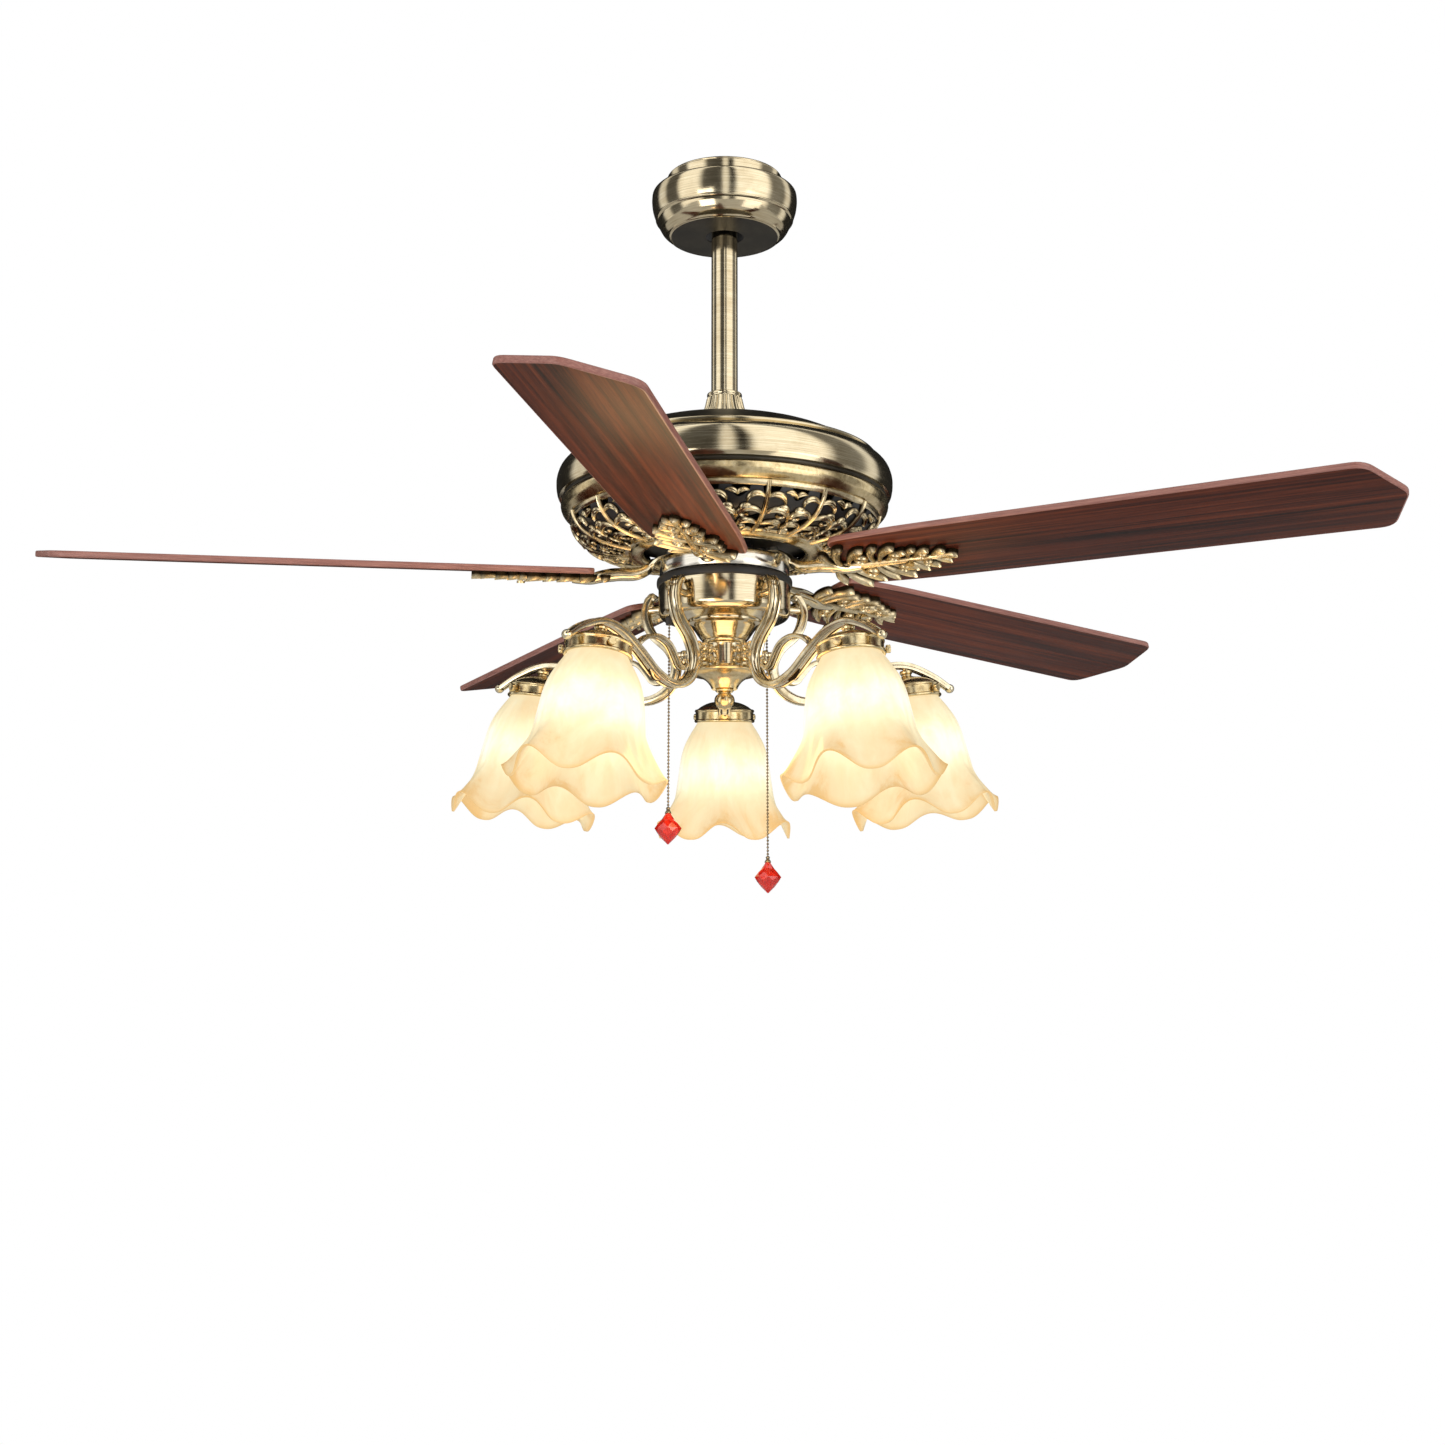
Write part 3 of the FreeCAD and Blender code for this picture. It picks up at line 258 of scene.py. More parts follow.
def wood_material():
    """Reddish dark veneer: long grain, pores, slow colour drift, and a satin lacquer."""
    n = Nodes("dark_walnut")
    bend = n.noise(n.place((1.6, 7, 7), "grain"), 1.0, 2.0, 0.5)
    figure = n.noise(n.place((2.0, 84, 50), "grain"), 1.0, 6.0, 0.66, 0.7)
    lines = n.noise(n.place((4, 210, 110), "grain"), 1.0, 5.0, 0.72, 0.3)
    pores = n.noise(n.place((70, 1500, 600), "grain"), 1.0, 3.0, 0.7)
    base = n.ramp(figure, [(0.36, (0.014, 0.003, 0.002)), (0.46, (0.055, 0.011, 0.006)),
                           (0.56, (0.120, 0.025, 0.011)), (0.66, (0.210, 0.050, 0.019))])
    veins = n.ramp(lines, [(0.40, (0.010, 0.002, 0.002)), (0.50, (0.080, 0.017, 0.008)),
                           (0.61, (0.200, 0.048, 0.019))])
    drift = n.ramp(bend, [(0.3, (0.78, 0.72, 0.72)), (0.7, (1.12, 1.10, 1.06))])
    colour = n.mix(1.0, n.mix(0.46, base, veins), drift, "MULTIPLY")
    dark_pores = n.ramp(pores, [(0.30, (0.35, 0.32, 0.30)), (0.42, (1, 1, 1))])
    n.set(Base_Color=n.mix(0.7, colour, n.mix(1.0, colour, dark_pores, "MULTIPLY")),
          Roughness=n.grey(lines, 0.36, 0.52), Specular_IOR_Level=0.16, Coat_Weight=0.03, Coat_Roughness=0.2)
    n.bump(n.mix(0.5, lines, pores), 0.12, 0.0003)


def edge_material():
    """The rounded veneer edge of a blade, lighter and pinker than its faces: partly its own colour, partly a
    painted highlight on the rounded edge.
    """
    n = Nodes("blade_edge")
    lines = n.noise(n.place((30, 300, 900), "grain"), 1.0, 4.0, 0.65)
    colour = n.ramp(lines, [(0.25, (0.20, 0.075, 0.060)), (0.55, (0.36, 0.155, 0.125)),
                            (0.8, (0.50, 0.25, 0.21))])
    n.set(Base_Color=colour, Roughness=n.grey(lines, 0.34, 0.46), Coat_Weight=0.12, Coat_Roughness=0.2)
    n.bump(lines, 0.1, 0.0003)


def glass_material():
    """Cream alabaster glass whose glow is painted light: emission stands in for the bulb shining through,
    palest round the lamp, amber on its folds and along the rim.
    """
    n = Nodes("amber_glass")
    spot = n.add("ShaderNodeAttribute", attribute_name="glow")
    glow = n.add("ShaderNodeSeparateXYZ")
    n.link(spot.outputs["Vector"], glow.inputs["Vector"])
    clouds = n.noise(n.place((1, 1, 0.6)), 26.0, 5.0, 0.6, 0.8)
    veil = n.noise(n.place((1, 1, 0.35)), 80.0, 4.0, 0.6, 1.2)
    painted_glow = n.add("ShaderNodeMath", operation="ADD")
    n.link(glow.outputs["X"], painted_glow.inputs[0])
    n.link(n.grey(clouds, -0.26, 0.26, 0.3, 0.7), painted_glow.inputs[1])
    tint = n.ramp(painted_glow.outputs["Value"], [(0.0, (0.90, 0.63, 0.30)), (0.16, (0.95, 0.78, 0.49)),
                                          (0.40, (0.97, 0.85, 0.57)), (0.72, (1.0, 0.93, 0.67)),
                                          (1.0, (1.0, 0.98, 0.87))])
    streaks = n.ramp(veil, [(0.35, (1.0, 0.86, 0.64)), (0.6, (1.0, 0.97, 0.88))])
    streaked = n.mix(0.24, tint, streaks, "MULTIPLY")
    edge_tint = n.mix(n.grey(glow.outputs["Z"], 0.0, 0.75), streaked, (0.90, 0.58, 0.22))
    n.set(Base_Color=n.mix(1.0, edge_tint, (0.30, 0.27, 0.22), "MULTIPLY"), Roughness=0.36,
          Emission_Color=edge_tint, Emission_Strength=n.grey(glow.outputs["X"], 0.64, 0.93),
          Transmission_Weight=0.12, IOR=1.3, Coat_Weight=0.3, Coat_Roughness=0.12)
    n.bump(veil, 0.05, 0.0006)


def crystal_material():
    """Clear red cut glass for the two pull drops, with a faint red emission: painted glow."""
    n = Nodes("red_crystal")
    depth = n.noise(n.place(), 160.0, 2.0, 0.5)
    n.set(Base_Color=n.ramp(depth, [(0.3, (0.50, 0.008, 0.005)), (0.7, (0.78, 0.040, 0.020))]),
          Roughness=0.05, Transmission_Weight=0.35, IOR=1.5, Coat_Weight=0.5, Coat_Roughness=0.03,
          Emission_Color=(0.9, 0.02, 0.008), Emission_Strength=0.06)


wood_material()
edge_material()
glass_material()
crystal_material()


# ---------- mesh helpers

def curve_through(points, steps):
    """A smooth line through points (Catmull-Rom), with steps spans between neighbours."""
    points = np.array(points, float)
    last = len(points) - 1
    line = []
    for i in range(last):
        a, b, c, d = points[max(i - 1, 0)], points[i], points[i + 1], points[min(i + 2, last)]
        for t in np.arange(steps) / steps:
            line.append(0.5 * (2 * b + (c - a) * t + (2 * a - 5 * b + 4 * c - d) * t ** 2
                               + (3 * b - a - 3 * c + d) * t ** 3))
    line.append(points[-1])
    return np.array(line)


SAME_POINT = 1e-6


def profile(first_run, *runs):
    """A half section of smooth runs that meet at crisp corners.

    Each run starts where the last one ended, so a run of one point is a straight line.
    """
    whole = [first_run]
    for run in runs:
        whole.append([whole[-1][-1], *run])
    line = []
    for run in whole:
        part = curve_through(run, 6) if len(run) > 2 else np.array(run, float)
        line += [tuple(point) for point in part]
    kept = [line[0]]
    for point in line[1:]:
        if math.dist(point, kept[-1]) > SAME_POINT:
            kept.append(point)
    return kept


def lathe(section, turns=128, radius_wave=None):
    """Vertices and faces of a closed half section (radius, height) turned about Z."""
    vertices = []
    count = len(section)
    for i in range(turns):
        angle = 2 * math.pi * i / turns
        for radius, height in section:
            reach = radius + (radius_wave(angle, radius, height) if radius_wave else 0.0)
            vertices.append((reach * math.cos(angle), reach * math.sin(angle), height, 1.0))
    faces = []
    for i in range(turns):
        j = (i + 1) % turns
        for k in range(count):
            l = (k + 1) % count
            faces.append((i * count + k, j * count + k, j * count + l, i * count + l))
    return np.array(vertices), faces


def tube_faces(rows, count):
    """Faces round a tube of rows rings with count points each, closed by a face at either end."""
    faces = []
    for i in range(rows - 1):
        for k in range(count):
            l = (k + 1) % count
            faces.append((i * count + k, i * count + l, (i + 1) * count + l, (i + 1) * count + k))
    faces.append(tuple(range(count))[::-1])
    last = (rows - 1) * count
    faces.append(tuple(range(last, last + count)))
    return faces


def unit_tangents(path):
    """Direction of travel at each point of a path."""
    tangents = np.gradient(path, axis=0)
    return tangents / np.maximum(np.linalg.norm(tangents, axis=1), 1e-9)[:, None]


def sweep(path, side, section, scale):
    """A closed section, (across, along side, relief), carried along a path and scaled ring by ring."""
    path = np.array(path, float)
    side = np.array(side, float)
    across = np.cross(side, unit_tangents(path))
    across /= np.linalg.norm(across, axis=1)[:, None]
    count = len(section)
    vertices = []
    for i, place in enumerate(path):
        thick, wide = scale[i]
        for a, b, relief in section:
            spot = place + across[i] * a * thick + side * b * wide
            vertices.append((*spot, relief))
    return np.array(vertices), tube_faces(len(path), count)


def leaf_stroke(path, half_widths, rises, place_on, sink=1.2):
    """A cast leaf or tendril with a vein along its ridge; place_on maps (x, y, lift) to a spot in space."""
    path = np.array(path, float)
    tangents = unit_tangents(path)
    normals = np.stack([-tangents[:, 1], tangents[:, 0]], axis=1)
    # The third number of each section point is its relief: 0 at the foot, half on the vein, 1 on the ridges;
    # the gilt materials paint shade where it is low.
    section = [(-1.0, -1.0, 0.0), (-1.0, 0.0, 0.1), (-0.74, 0.66, 0.55), (-0.34, 1.0, 1.0), (0.0, 0.74, 0.5),
               (0.34, 1.0, 1.0), (0.74, 0.66, 0.55), (1.0, 0.0, 0.1), (1.0, -1.0, 0.0)]
    vertices = []
    for place, normal, half, rise in zip(path, normals, half_widths, rises):
        for across, lift, relief in section:
            spot = place + normal * across * half
            vertices.append((*place_on(spot[0], spot[1], lift * (rise if lift > 0 else sink)), relief))
    return np.array(vertices), tube_faces(len(path), len(section))


def curl(start, heading, length, bend, tighten, count=16):
    """Points of a tendril that leaves start at a heading (degrees) and bends more and more."""
    points = [np.array(start, float)]
    angle = math.radians(heading)
    step = length / count
    for i in range(count):
        t = (i + 0.5) / count
        angle += math.radians(bend) / count * (1 + tighten * t ** 2)
        points.append(points[-1] + step * np.array([math.cos(angle), math.sin(angle)]))
    return points


def finger_widths(count, widest, stem=0.45, swell_at=0.78):
    """Half widths of a finger: a slim stem that swells to a round end."""
    widths = []
    for i in range(count):
        t = i / (count - 1)
        if t < swell_at:
            widths.append(widest * (stem + (1 - stem) * math.sin(math.pi / 2 * t / swell_at) ** 2))
        else:
            widths.append(widest * math.sqrt(max(0.02, 1 - ((t - swell_at) / (1 - swell_at)) ** 2)))
    return widths


def leaf_widths(count, widest):
    """Half widths of a pointed leaf, broadest a little past its middle."""
    return [widest * max(0.12, math.sin(math.pi * (0.06 + 0.94 * i / (count - 1)) ** 1.15)) ** 0.75
            for i in range(count)]


def ramped(count, first, last):
    """Numbers that run evenly from first to last."""
    return list(np.linspace(first, last, count))


def moved(data, matrix):
    """Mesh data carried by a 4x4 matrix."""
    vertices, faces = data
    matrix = np.array(matrix)
    carried = vertices.copy()
    carried[:, :3] = vertices[:, :3] @ matrix[:3, :3].T + matrix[:3, 3]
    return carried, faces


def joined(*parts):
    vertices = []
    faces = []
    for part_vertices, part_faces in parts:
        shift = len(vertices)
        vertices += [tuple(v) for v in part_vertices]
        faces += [tuple(i + shift for i in face) for face in part_faces]
    return np.array(vertices), faces


def turn(degrees, axis):
    return Matrix.Rotation(math.radians(degrees), 4, axis)


def outward(azimuth):
    """Turns local +X to point outwards at an azimuth."""
    return turn(azimuth - 90, "Z")


def lamp_place(azimuth):
    """Carries a piece drawn about a lamp's own axis out to its arm's end, leaned outwards."""
    return outward(azimuth) @ Matrix.Translation((LAMP_RING, 0, LAMP_PIVOT)) \
        @ turn(-LAMP_TILT, "Y") @ Matrix.Translation((0, 0, -LAMP_PIVOT))


def at_lamps(data):
    return joined(*[moved(data, lamp_place(azimuth)) for azimuth in LAMP_AZIMUTHS])


WELD = 0.001 * MM
SHORTEST_EDGE = 1e-7


def linked(name, data):
    """A new object for a mesh or light, in the scene."""
    made = bpy.data.objects.new(name, data)
    bpy.context.collection.objects.link(made)
    return made


def piece(name, data, body, material, replaced=(), crease=38.0, level=None):
    """A finished mesh piece from millimetre data; level is the height in metres that its zero lies at."""
    vertices, faces = data
    height = BLADE_PLANE if level is None else level
    mesh = bpy.data.meshes.new(name)
    mesh.from_pydata([(x * MM, y * MM, z * MM + height) for x, y, z, _ in vertices], [], faces)
    relief = mesh.attributes.new("relief", "FLOAT", "POINT")
    relief.data.foreach_set("value", np.array(vertices[:, 3], np.float32))
    edit = bmesh.new()
    edit.from_mesh(mesh)
    bmesh.ops.remove_doubles(edit, verts=edit.verts, dist=WELD)
    bmesh.ops.dissolve_degenerate(edit, edges=edit.edges, dist=SHORTEST_EDGE)
    bmesh.ops.recalc_face_normals(edit, faces=edit.faces)
    edit.to_mesh(mesh)
    edit.free()
    mesh.shade_smooth()
    if crease is not None:
        mesh.set_sharp_from_angle(angle=math.radians(crease))
    made = linked(name, mesh)
    mesh.materials.append(MATERIALS[material])
    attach(made, body)
    if replaced:
        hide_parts(*replaced)
    return made


def ball(centre, radius, squeeze=1.0, rings=12, turns=20):
    """A small knob with its poles along Y."""
    angles = [math.pi * k / rings for k in range(rings + 1)]
    section = [(max(radius * math.sin(a), 0.02), radius * squeeze * math.cos(a)) for a in angles]
    data = moved(lathe(section, turns), turn(90, "X"))
    return moved(data, Matrix.Translation(centre))


def rod(start, end, radius, turns=24, ends=0.7):
    """A straight round bar with softened ends."""
    start, end = Vector(start), Vector(end)
    length = (end - start).length
    section = [(0.02, 0.0), (radius - ends, 0.0), (radius, ends), (radius, length - ends),
               (radius - ends, length), (0.02, length)]
    aim = (end - start).to_track_quat("Z", "Y").to_matrix().to_4x4()
    return moved(lathe(section, turns), Matrix.Translation(start) @ aim)


# ---------- pull chains


def bead_chain(name, node, body):
    """Ball chain straight down from inside the switch neck to the pendant; also its route and length."""
    low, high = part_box(node)
    x, y = (low.x + high.x) / 2, (low.y + high.y) / 2
    route = bpy.data.curves.new(name + "_route", "CURVE")
    route.dimensions = "3D"
    spline = route.splines.new("NURBS")
    points = [(x, y, high.z), (x, y, (low.z + high.z) / 2), (x, y, low.z)]
    spline.points.add(len(points) - 1)
    for point, place in zip(spline.points, points):
        point.co = (*place, 1.0)
    spline.order_u = 3
    spline.use_endpoint_u = True
    spline.resolution_u = 24
    holder = bpy.data.objects.new(name + "_route", route)
    flat = bpy.data.meshes.new_from_object(holder)
    path = [tuple(v.co) for v in flat.vertices]
    bpy.data.meshes.remove(flat)
    bpy.data.objects.remove(holder)
    bpy.data.curves.remove(route)
    length = high.z - low.z
    pitch = 3.3 * MM
    count = int(length / pitch)
    bead = lathe([(0.02, 1.2), (0.62, 1.03), (1.03, 0.6), (1.2, 0), (1.03, -0.6), (0.62, -1.03),
                  (0.02, -1.2)], 10)
    parts = []
    for k in range(count):
        centre = (x / MM, y / MM, (high.z - (k + 0.5) * length / count) / MM)
        parts.append(moved(bead, Matrix.Translation(centre)))
    parts.append(rod((x / MM, y / MM, low.z / MM), (x / MM, y / MM, high.z / MM), 0.42, 8, 0.1))
    made = piece(name, joined(*parts), body, "chain_metal", [node], crease=None, level=0.0)
    return made, path, length


def pendant(name, node, body):
    """Cut red glass drop under a small beaded cap."""
    low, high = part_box(node)
    x, y = (low.x + high.x) / 2 / MM, (low.y + high.y) / 2 / MM
    top = high.z / MM
    sides = 8
    rings = [(1.6, -4.6), (3.2, -7.6), (6.4, -12.6), (9.8, -16.0), (13.0, -20.6), (11.4, -24.4), (6.6, -30.0),
             (0.5, -36.0)]
    vertices = []
    for k, (radius, height) in enumerate(rings):
        for s in range(sides):
            angle = math.pi * 2 * (s + 0.5 * (k % 2)) / sides
            vertices.append((x + radius * math.cos(angle), y + radius * math.sin(angle), top + height, 1.0))
    faces = [tuple(range(sides))[::-1]]
    for k in range(len(rings) - 1):
        for s in range(sides):
            a, b = k * sides + s, k * sides + (s + 1) % sides
            c, d = (k + 1) * sides + s, (k + 1) * sides + (s + 1) % sides
            if k % 2 == 0:
                faces += [(a, b, c), (b, d, c)]
            else:
                faces += [(a, b, d), (a, d, c)]
    faces.append(tuple(range((len(rings) - 1) * sides, len(rings) * sides)))
    drop = piece(name, (np.array(vertices), faces), body, "red_crystal", [node], crease=4.0, level=0.0)
    cap = lathe([(0.05, 0.0), (1.1, -0.2), (1.9, -1.0), (2.1, -1.9), (1.5, -2.8), (1.9, -3.6), (2.9, -5.0),
                 (3.2, -6.4), (2.2, -6.6), (0.05, -5.6)], 24)
    top_cap = piece(name + "_cap", moved(cap, Matrix.Translation((x, y, top))), body, "chain_metal",
                    crease=50.0, level=0.0)
    return drop, top_cap


for which in ("fan", "light"):
    body = which + "_pull"
    chain, chain_path, chain_length = bead_chain(which + "_bead_chain", which + "_chain", body)
    drop, drop_cap = pendant(which + "_crystal", which + "_pendant", body)


# ---------- canopy, rod cover and housing

piece("canopy_shell", lathe(profile(
    [(54.5, -62.4), (54.5, -64)], [(56.6, -63.6), (57.8, -62.2)],
    [(63.6, -57.4), (67.4, -50.6), (68.2, -47.4)], [(69.8, -46.6)], [(70.6, -45.6), (70.4, -44.6)],
    [(73.2, -36), (74.4, -27), (74.2, -20.6)], [(73.6, -18.2), (71.6, -16.2), (67, -15.2)],
    [(66.4, -14.2)], [(62, -13.8), (59.4, -13)], [(58.4, -12)], [(58.4, -2.4)], [(59, -1.2), (58, 0)],
    [(56.5, 0)], [(56.5, -14.6)],
    [(64.5, -16.8), (71.6, -19.6), (72.8, -27), (71.4, -37), (68.2, -46.4), (66.6, -49), (61.6, -57.4),
     (55.6, -62.4)],
)), "ceiling_mount", "antique_brass", ["canopy"], level=0.0)

# The canopy's downward face, finished dark bronze as painted shade.
piece("canopy_floor_painted_shade", lathe(profile(
    [(21, -62.4), (21, -63.6)], [(22, -64), (54.5, -64)], [(54.5, -62.4)], [(21, -62.4)],
)), "ceiling_mount", "dark_bronze", level=0.0)

# A thin black sheet laid just inside the canopy's inner face: painted shade, not a real part.
INNER_FACE = [(56.3, -4), (56.3, -14.8), (64.3, -17), (71.3, -19.8), (72.5, -27), (71.1, -37), (67.9, -46.4),
              (66.3, -49), (61.3, -57.2), (55.3, -62.2), (21.2, -62.2)]
PAINTED_SHADE_FILM = 0.3
painted_shade_lining = INNER_FACE + [(radius - PAINTED_SHADE_FILM, height + PAINTED_SHADE_FILM) for radius, height in INNER_FACE[::-1]]
piece("canopy_inside_painted_shade", lathe(painted_shade_lining), "ceiling_mount", "black_enamel", level=0.0)

FLUTES = 20
FLUTE_DEPTH = 0.9
FLUTED_FROM, FLUTED_TO = 163.5, 183.0
FLUTED_BEYOND = 15.0


def fluting(angle, radius, height):
    """Shallow flutes round the waist of the rod cover, inside and out, beyond a small radius."""
    fluted = FLUTED_FROM < height < FLUTED_TO and radius > FLUTED_BEYOND
    return FLUTE_DEPTH * math.cos(FLUTES * angle) if fluted else 0.0


piece("rod_cover_fluted", lathe(profile(
    [(13.8, 188), (16, 188)], [(17.3, 187.2), (17.6, 185.6), (17, 184)],
    [(17.6, 180), (19.6, 172), (22.4, 165.4), (22.8, 163.6)],
    [(24.2, 163.2), (25.8, 162), (26, 160.4), (26, 158)], [(21.4, 158)], [(18.6, 166), (13.8, 184)],
), 240, fluting), "fan_frame", "antique_brass", ["rod_cover"])

piece("housing_dome", lathe(profile(
    [(21.2, 158), (60, 151.8), (110, 137), (148, 118)], [(145, 116.5)],
    [(110, 134.7), (60, 149.6), (21.2, 156)],
)), "fan_frame", "dark_bronze", ["housing_cap"])

piece("housing_band", lathe(profile(
    [(145, 116.5), (148, 118.6)], [(150.8, 118.2), (152.4, 116.6), (152.4, 115)], [(151.4, 114)],
    [(153.8, 112.8)], [(158.6, 110.2), (163.6, 104.4), (166.6, 96), (167, 88), (166, 80.6), (164.2, 76.4)],
    [(161, 75.8)], [(152, 72.4)],
    [(157.6, 76), (163.6, 84), (164.4, 92), (161.6, 103), (153, 110.6), (145, 116.5)],
)), "fan_frame", "antique_brass", ["housing_drum"])

# A narrow ring under the band, finished dark bronze: painted shade in the groove.
piece("groove_painted_shade", lathe(profile(
    [(156, 76), (161.2, 76)], [(160.4, 74.4), (161, 72.4)], [(156, 72.4)],
)), "fan_frame", "dark_bronze")

piece("gold_bead", lathe(profile(
    [(149, 72.4), (160.2, 72.6)], [(162.2, 70.4), (162.2, 66.4), (160.4, 62), (157, 58.4)],
    [(154.4, 56.6)], [(149, 56.6)],
)), "fan_frame", "gilt_brass", ["bead_ring"])

piece("rim_ring", lathe(profile(
    [(80, 23), (80, 20.6), (82.6, 18.2), (87, 17.8), (91.6, 19.4), (94.6, 22.4)], [(94, 24.4)],
    [(86, 23.6), (80, 23)],
)), "fan_frame", "gilt_brass", ["trim_ring"])


# ---------- pierced leaf bowl under the housing

BOWL_LINE = curve_through([(94.0, 22.6), (120.0, 26.6), (138.0, 34.0), (149.0, 46.0), (153.0, 57.0)], 12)
BOWL_STEPS = np.concatenate([[0], np.cumsum(np.linalg.norm(np.diff(BOWL_LINE, axis=0), axis=1))])
BOWL_LENGTH = BOWL_STEPS[-1]
BOWL_RADIUS = 132.0
MOTIFS = 16


def bowl_spot(y):
    """Radius and height at a distance up the bowl's curve."""
    return np.interp(y, BOWL_STEPS, BOWL_LINE[:, 0]), np.interp(y, BOWL_STEPS, BOWL_LINE[:, 1])


def on_bowl(x, y, lift):
    """x runs round the bowl at its middle radius, y up its curve from the bottom rim, both in millimetres."""
    y = min(max(y, 0.0), BOWL_LENGTH)
    radius, height = bowl_spot(y)
    along = np.array(bowl_spot(min(y + 1.0, BOWL_LENGTH))) - np.array(bowl_spot(max(y - 1.0, 0.0)))
    along /= np.linalg.norm(along)
    radius += along[1] * lift
    height -= along[0] * lift
    angle = x / BOWL_RADIUS
    return (radius * math.cos(angle), radius * math.sin(angle), height)


def mirrored_strokes(strokes, place_on, sink, widths=finger_widths):
    """Each stroke (start, heading, length, bend, tighten, half width, rise) on both sides of the stem."""
    made = []
    for hand in (-1, 1):
        for start, heading, length, bend, tighten, wide, rise in strokes:
            line = [(px, hand * py) for px, py in curl(start, heading, length, bend, tighten, 14)]
            made.append(leaf_stroke(line, widths(len(line), wide), ramped(len(line), 0.5 * rise, rise),
                                    place_on, sink))
    return made


def up_bowl(x, y, lift):
    """The bowl with x up its curve and y sideways."""
    return on_bowl(y, x, lift)


def bowl_motif():
    """One upright stem with pairs of broad leaves that spring up, arch out and droop, over small curls."""
    stem = [(x, 0.0) for x in np.linspace(1.0, BOWL_LENGTH - 1.0, 16)]
    strokes = [leaf_stroke(stem, ramped(16, 3.6, 2.2), ramped(16, 3.4, 3.0), up_bowl, 1.0)]
    leaves = [((56.0, 0.5), 30, 23, 128, 0.5, 3.4, 3.6), ((37.0, 0.5), 26, 35, 128, 0.5, 4.2, 4.4),
              ((19.0, 0.5), 34, 29, 96, 0.5, 4.0, 4.0), ((4.0, 0.5), 52, 19, 60, 0.4, 3.4, 3.4),
              ((46.0, 12.0), 44, 13, 92, 0.6, 3.0, 3.6), ((27.0, 11.0), 62, 14, 70, 0.6, 3.0, 3.6),
              ((63.0, 16.0), 70, 12, 70, 0.6, 2.8, 3.2), ((11.0, 12.0), 78, 9, 50, 0.4, 2.6, 3.0)]
    curls = [((40.0, 23.0), 168, 15, 150, 1.0, 2.2, 3.0), ((22.0, 20.0), 150, 13, 130, 1.0, 2.2, 3.0)]
    return joined(*strokes, *mirrored_strokes(leaves, up_bowl, 1.0, leaf_widths),
                  *mirrored_strokes(curls, up_bowl, 1.0))


FIRST_STEM = 15.8
STEM_AZIMUTHS = [FIRST_STEM + 360 / MOTIFS * k for k in range(MOTIFS)]
piece("leaf_bowl", joined(
    *[moved(bowl_motif(), outward(azimuth)) for azimuth in STEM_AZIMUTHS],
    lathe([(153.0, 58.0), (154.0, 55.0), (152.6, 51.6), (151.0, 51.0), (150.4, 53.6), (151.4, 58.0)]),
    lathe([(94.0, 23.4), (95.0, 21.4), (98.6, 21.4), (100.4, 23.4), (99.6, 24.6), (94.0, 24.2)]),
), "fan_frame", "gilt_relief", crease=50.0)


# ---------- flywheel, gasket, cup, column, finial

piece("flywheel_spun", lathe(profile(
    [(14, 25), (28, 25)], [(28, 14)], [(62, 14)], [(63.6, 13.4), (64, 12)], [(64, -2.2)], [(63.4, -3)],
    [(60, -3)], [(60, 9)], [(14, 9)],
)), "rotor", "pale_nickel", ["flywheel"])

piece("gasket_band", lathe(profile(
    [(58, -4.5), (64.6, -4.5)], [(66.4, -5.6), (66.9, -8.8), (66.4, -12), (65, -13)], [(58, -13)],
)), "fan_frame", "black_rubber", ["gasket_ring"])

piece("cup_spun", lathe(profile(
    [(63.5, -13), (65, -13)], [(65, -35)], [(64.2, -39.6), (61.8, -43.2), (58, -45)],
    [(46, -46.4), (37.4, -47.6)], [(37, -49.6), (35.4, -50.4)],
    [(32, -52.4), (28.2, -57.6), (24.4, -63.2), (21.8, -66)], [(12.5, -66)], [(12.5, -64)],
    [(20, -63.6), (27, -56.6), (33, -50), (36, -46.5)], [(57, -43.5)], [(61.6, -40.6), (63.5, -35)],
)), "fan_frame", "antique_brass", ["light_cup"])

piece("column_spun", lathe(profile(
    [(12.5, -66), (21.4, -66)], [(22, -67), (21.2, -68.4)],
    [(18.6, -69.4), (17.6, -72), (17.3, -81), (17.6, -89.6), (18.6, -92.6)],
    [(20.6, -93.6), (21, -95), (20.4, -96)], [(12.5, -96)],
)), "fan_frame", "antique_brass", ["light_column"])

piece("trumpet_cap", lathe(profile(
    [(0.2, -96), (33.4, -96)], [(34.8, -97.2), (34.2, -98.8), (32, -99.6)],
    [(25, -101.4), (18.6, -105), (14.4, -109.8), (12.4, -114)], [(0.2, -114)],
)), "fan_frame", "gilt_brass", ["bottom_cap"])

piece("finial_ball", lathe(profile(
    [(0.2, -114), (8, -114)], [(9, -115.2), (8, -116.6)], [(5.2, -117.6), (5, -118.4)],
    [(8.4, -120.4), (9.9, -124.4), (9.4, -128.6), (6.6, -132), (3, -133.4)], [(0.2, -134)],
), 64), "fan_frame", "gilt_brass", ["finial"])


# ---------- scroll arms

# The third number is relief: 0 in the flutes, where polished_gold paints shade, 1 on the ridges.
STRIP_HALF = [(3.4, -5.6, 0.5), (3.6, -4.4, 1.0), (2.1, -2.9, 0.0), (2.7, -1.4, 0.9), (2.9, 0.0, 1.0),
              (2.7, 1.4, 0.9), (2.1, 2.9, 0.0), (3.6, 4.4, 1.0), (3.4, 5.6, 0.5), (1.6, 6.5, 1.0)]
STRIP = STRIP_HALF + [(-a, -b, relief) for a, b, relief in STRIP_HALF]


def spiral(centre, radius, start, span, count=14, shrink=0.62):
    """Points of a closing volute in the arm's plane, from angle start through span degrees."""
    points = []
    for i in range(count):
        t = i / (count - 1)
        angle = math.radians(start + span * t)
        reach = radius * (1 - shrink * t)
        points.append((centre[0] + reach * math.cos(angle), centre[1] + reach * math.sin(angle)))
    return points


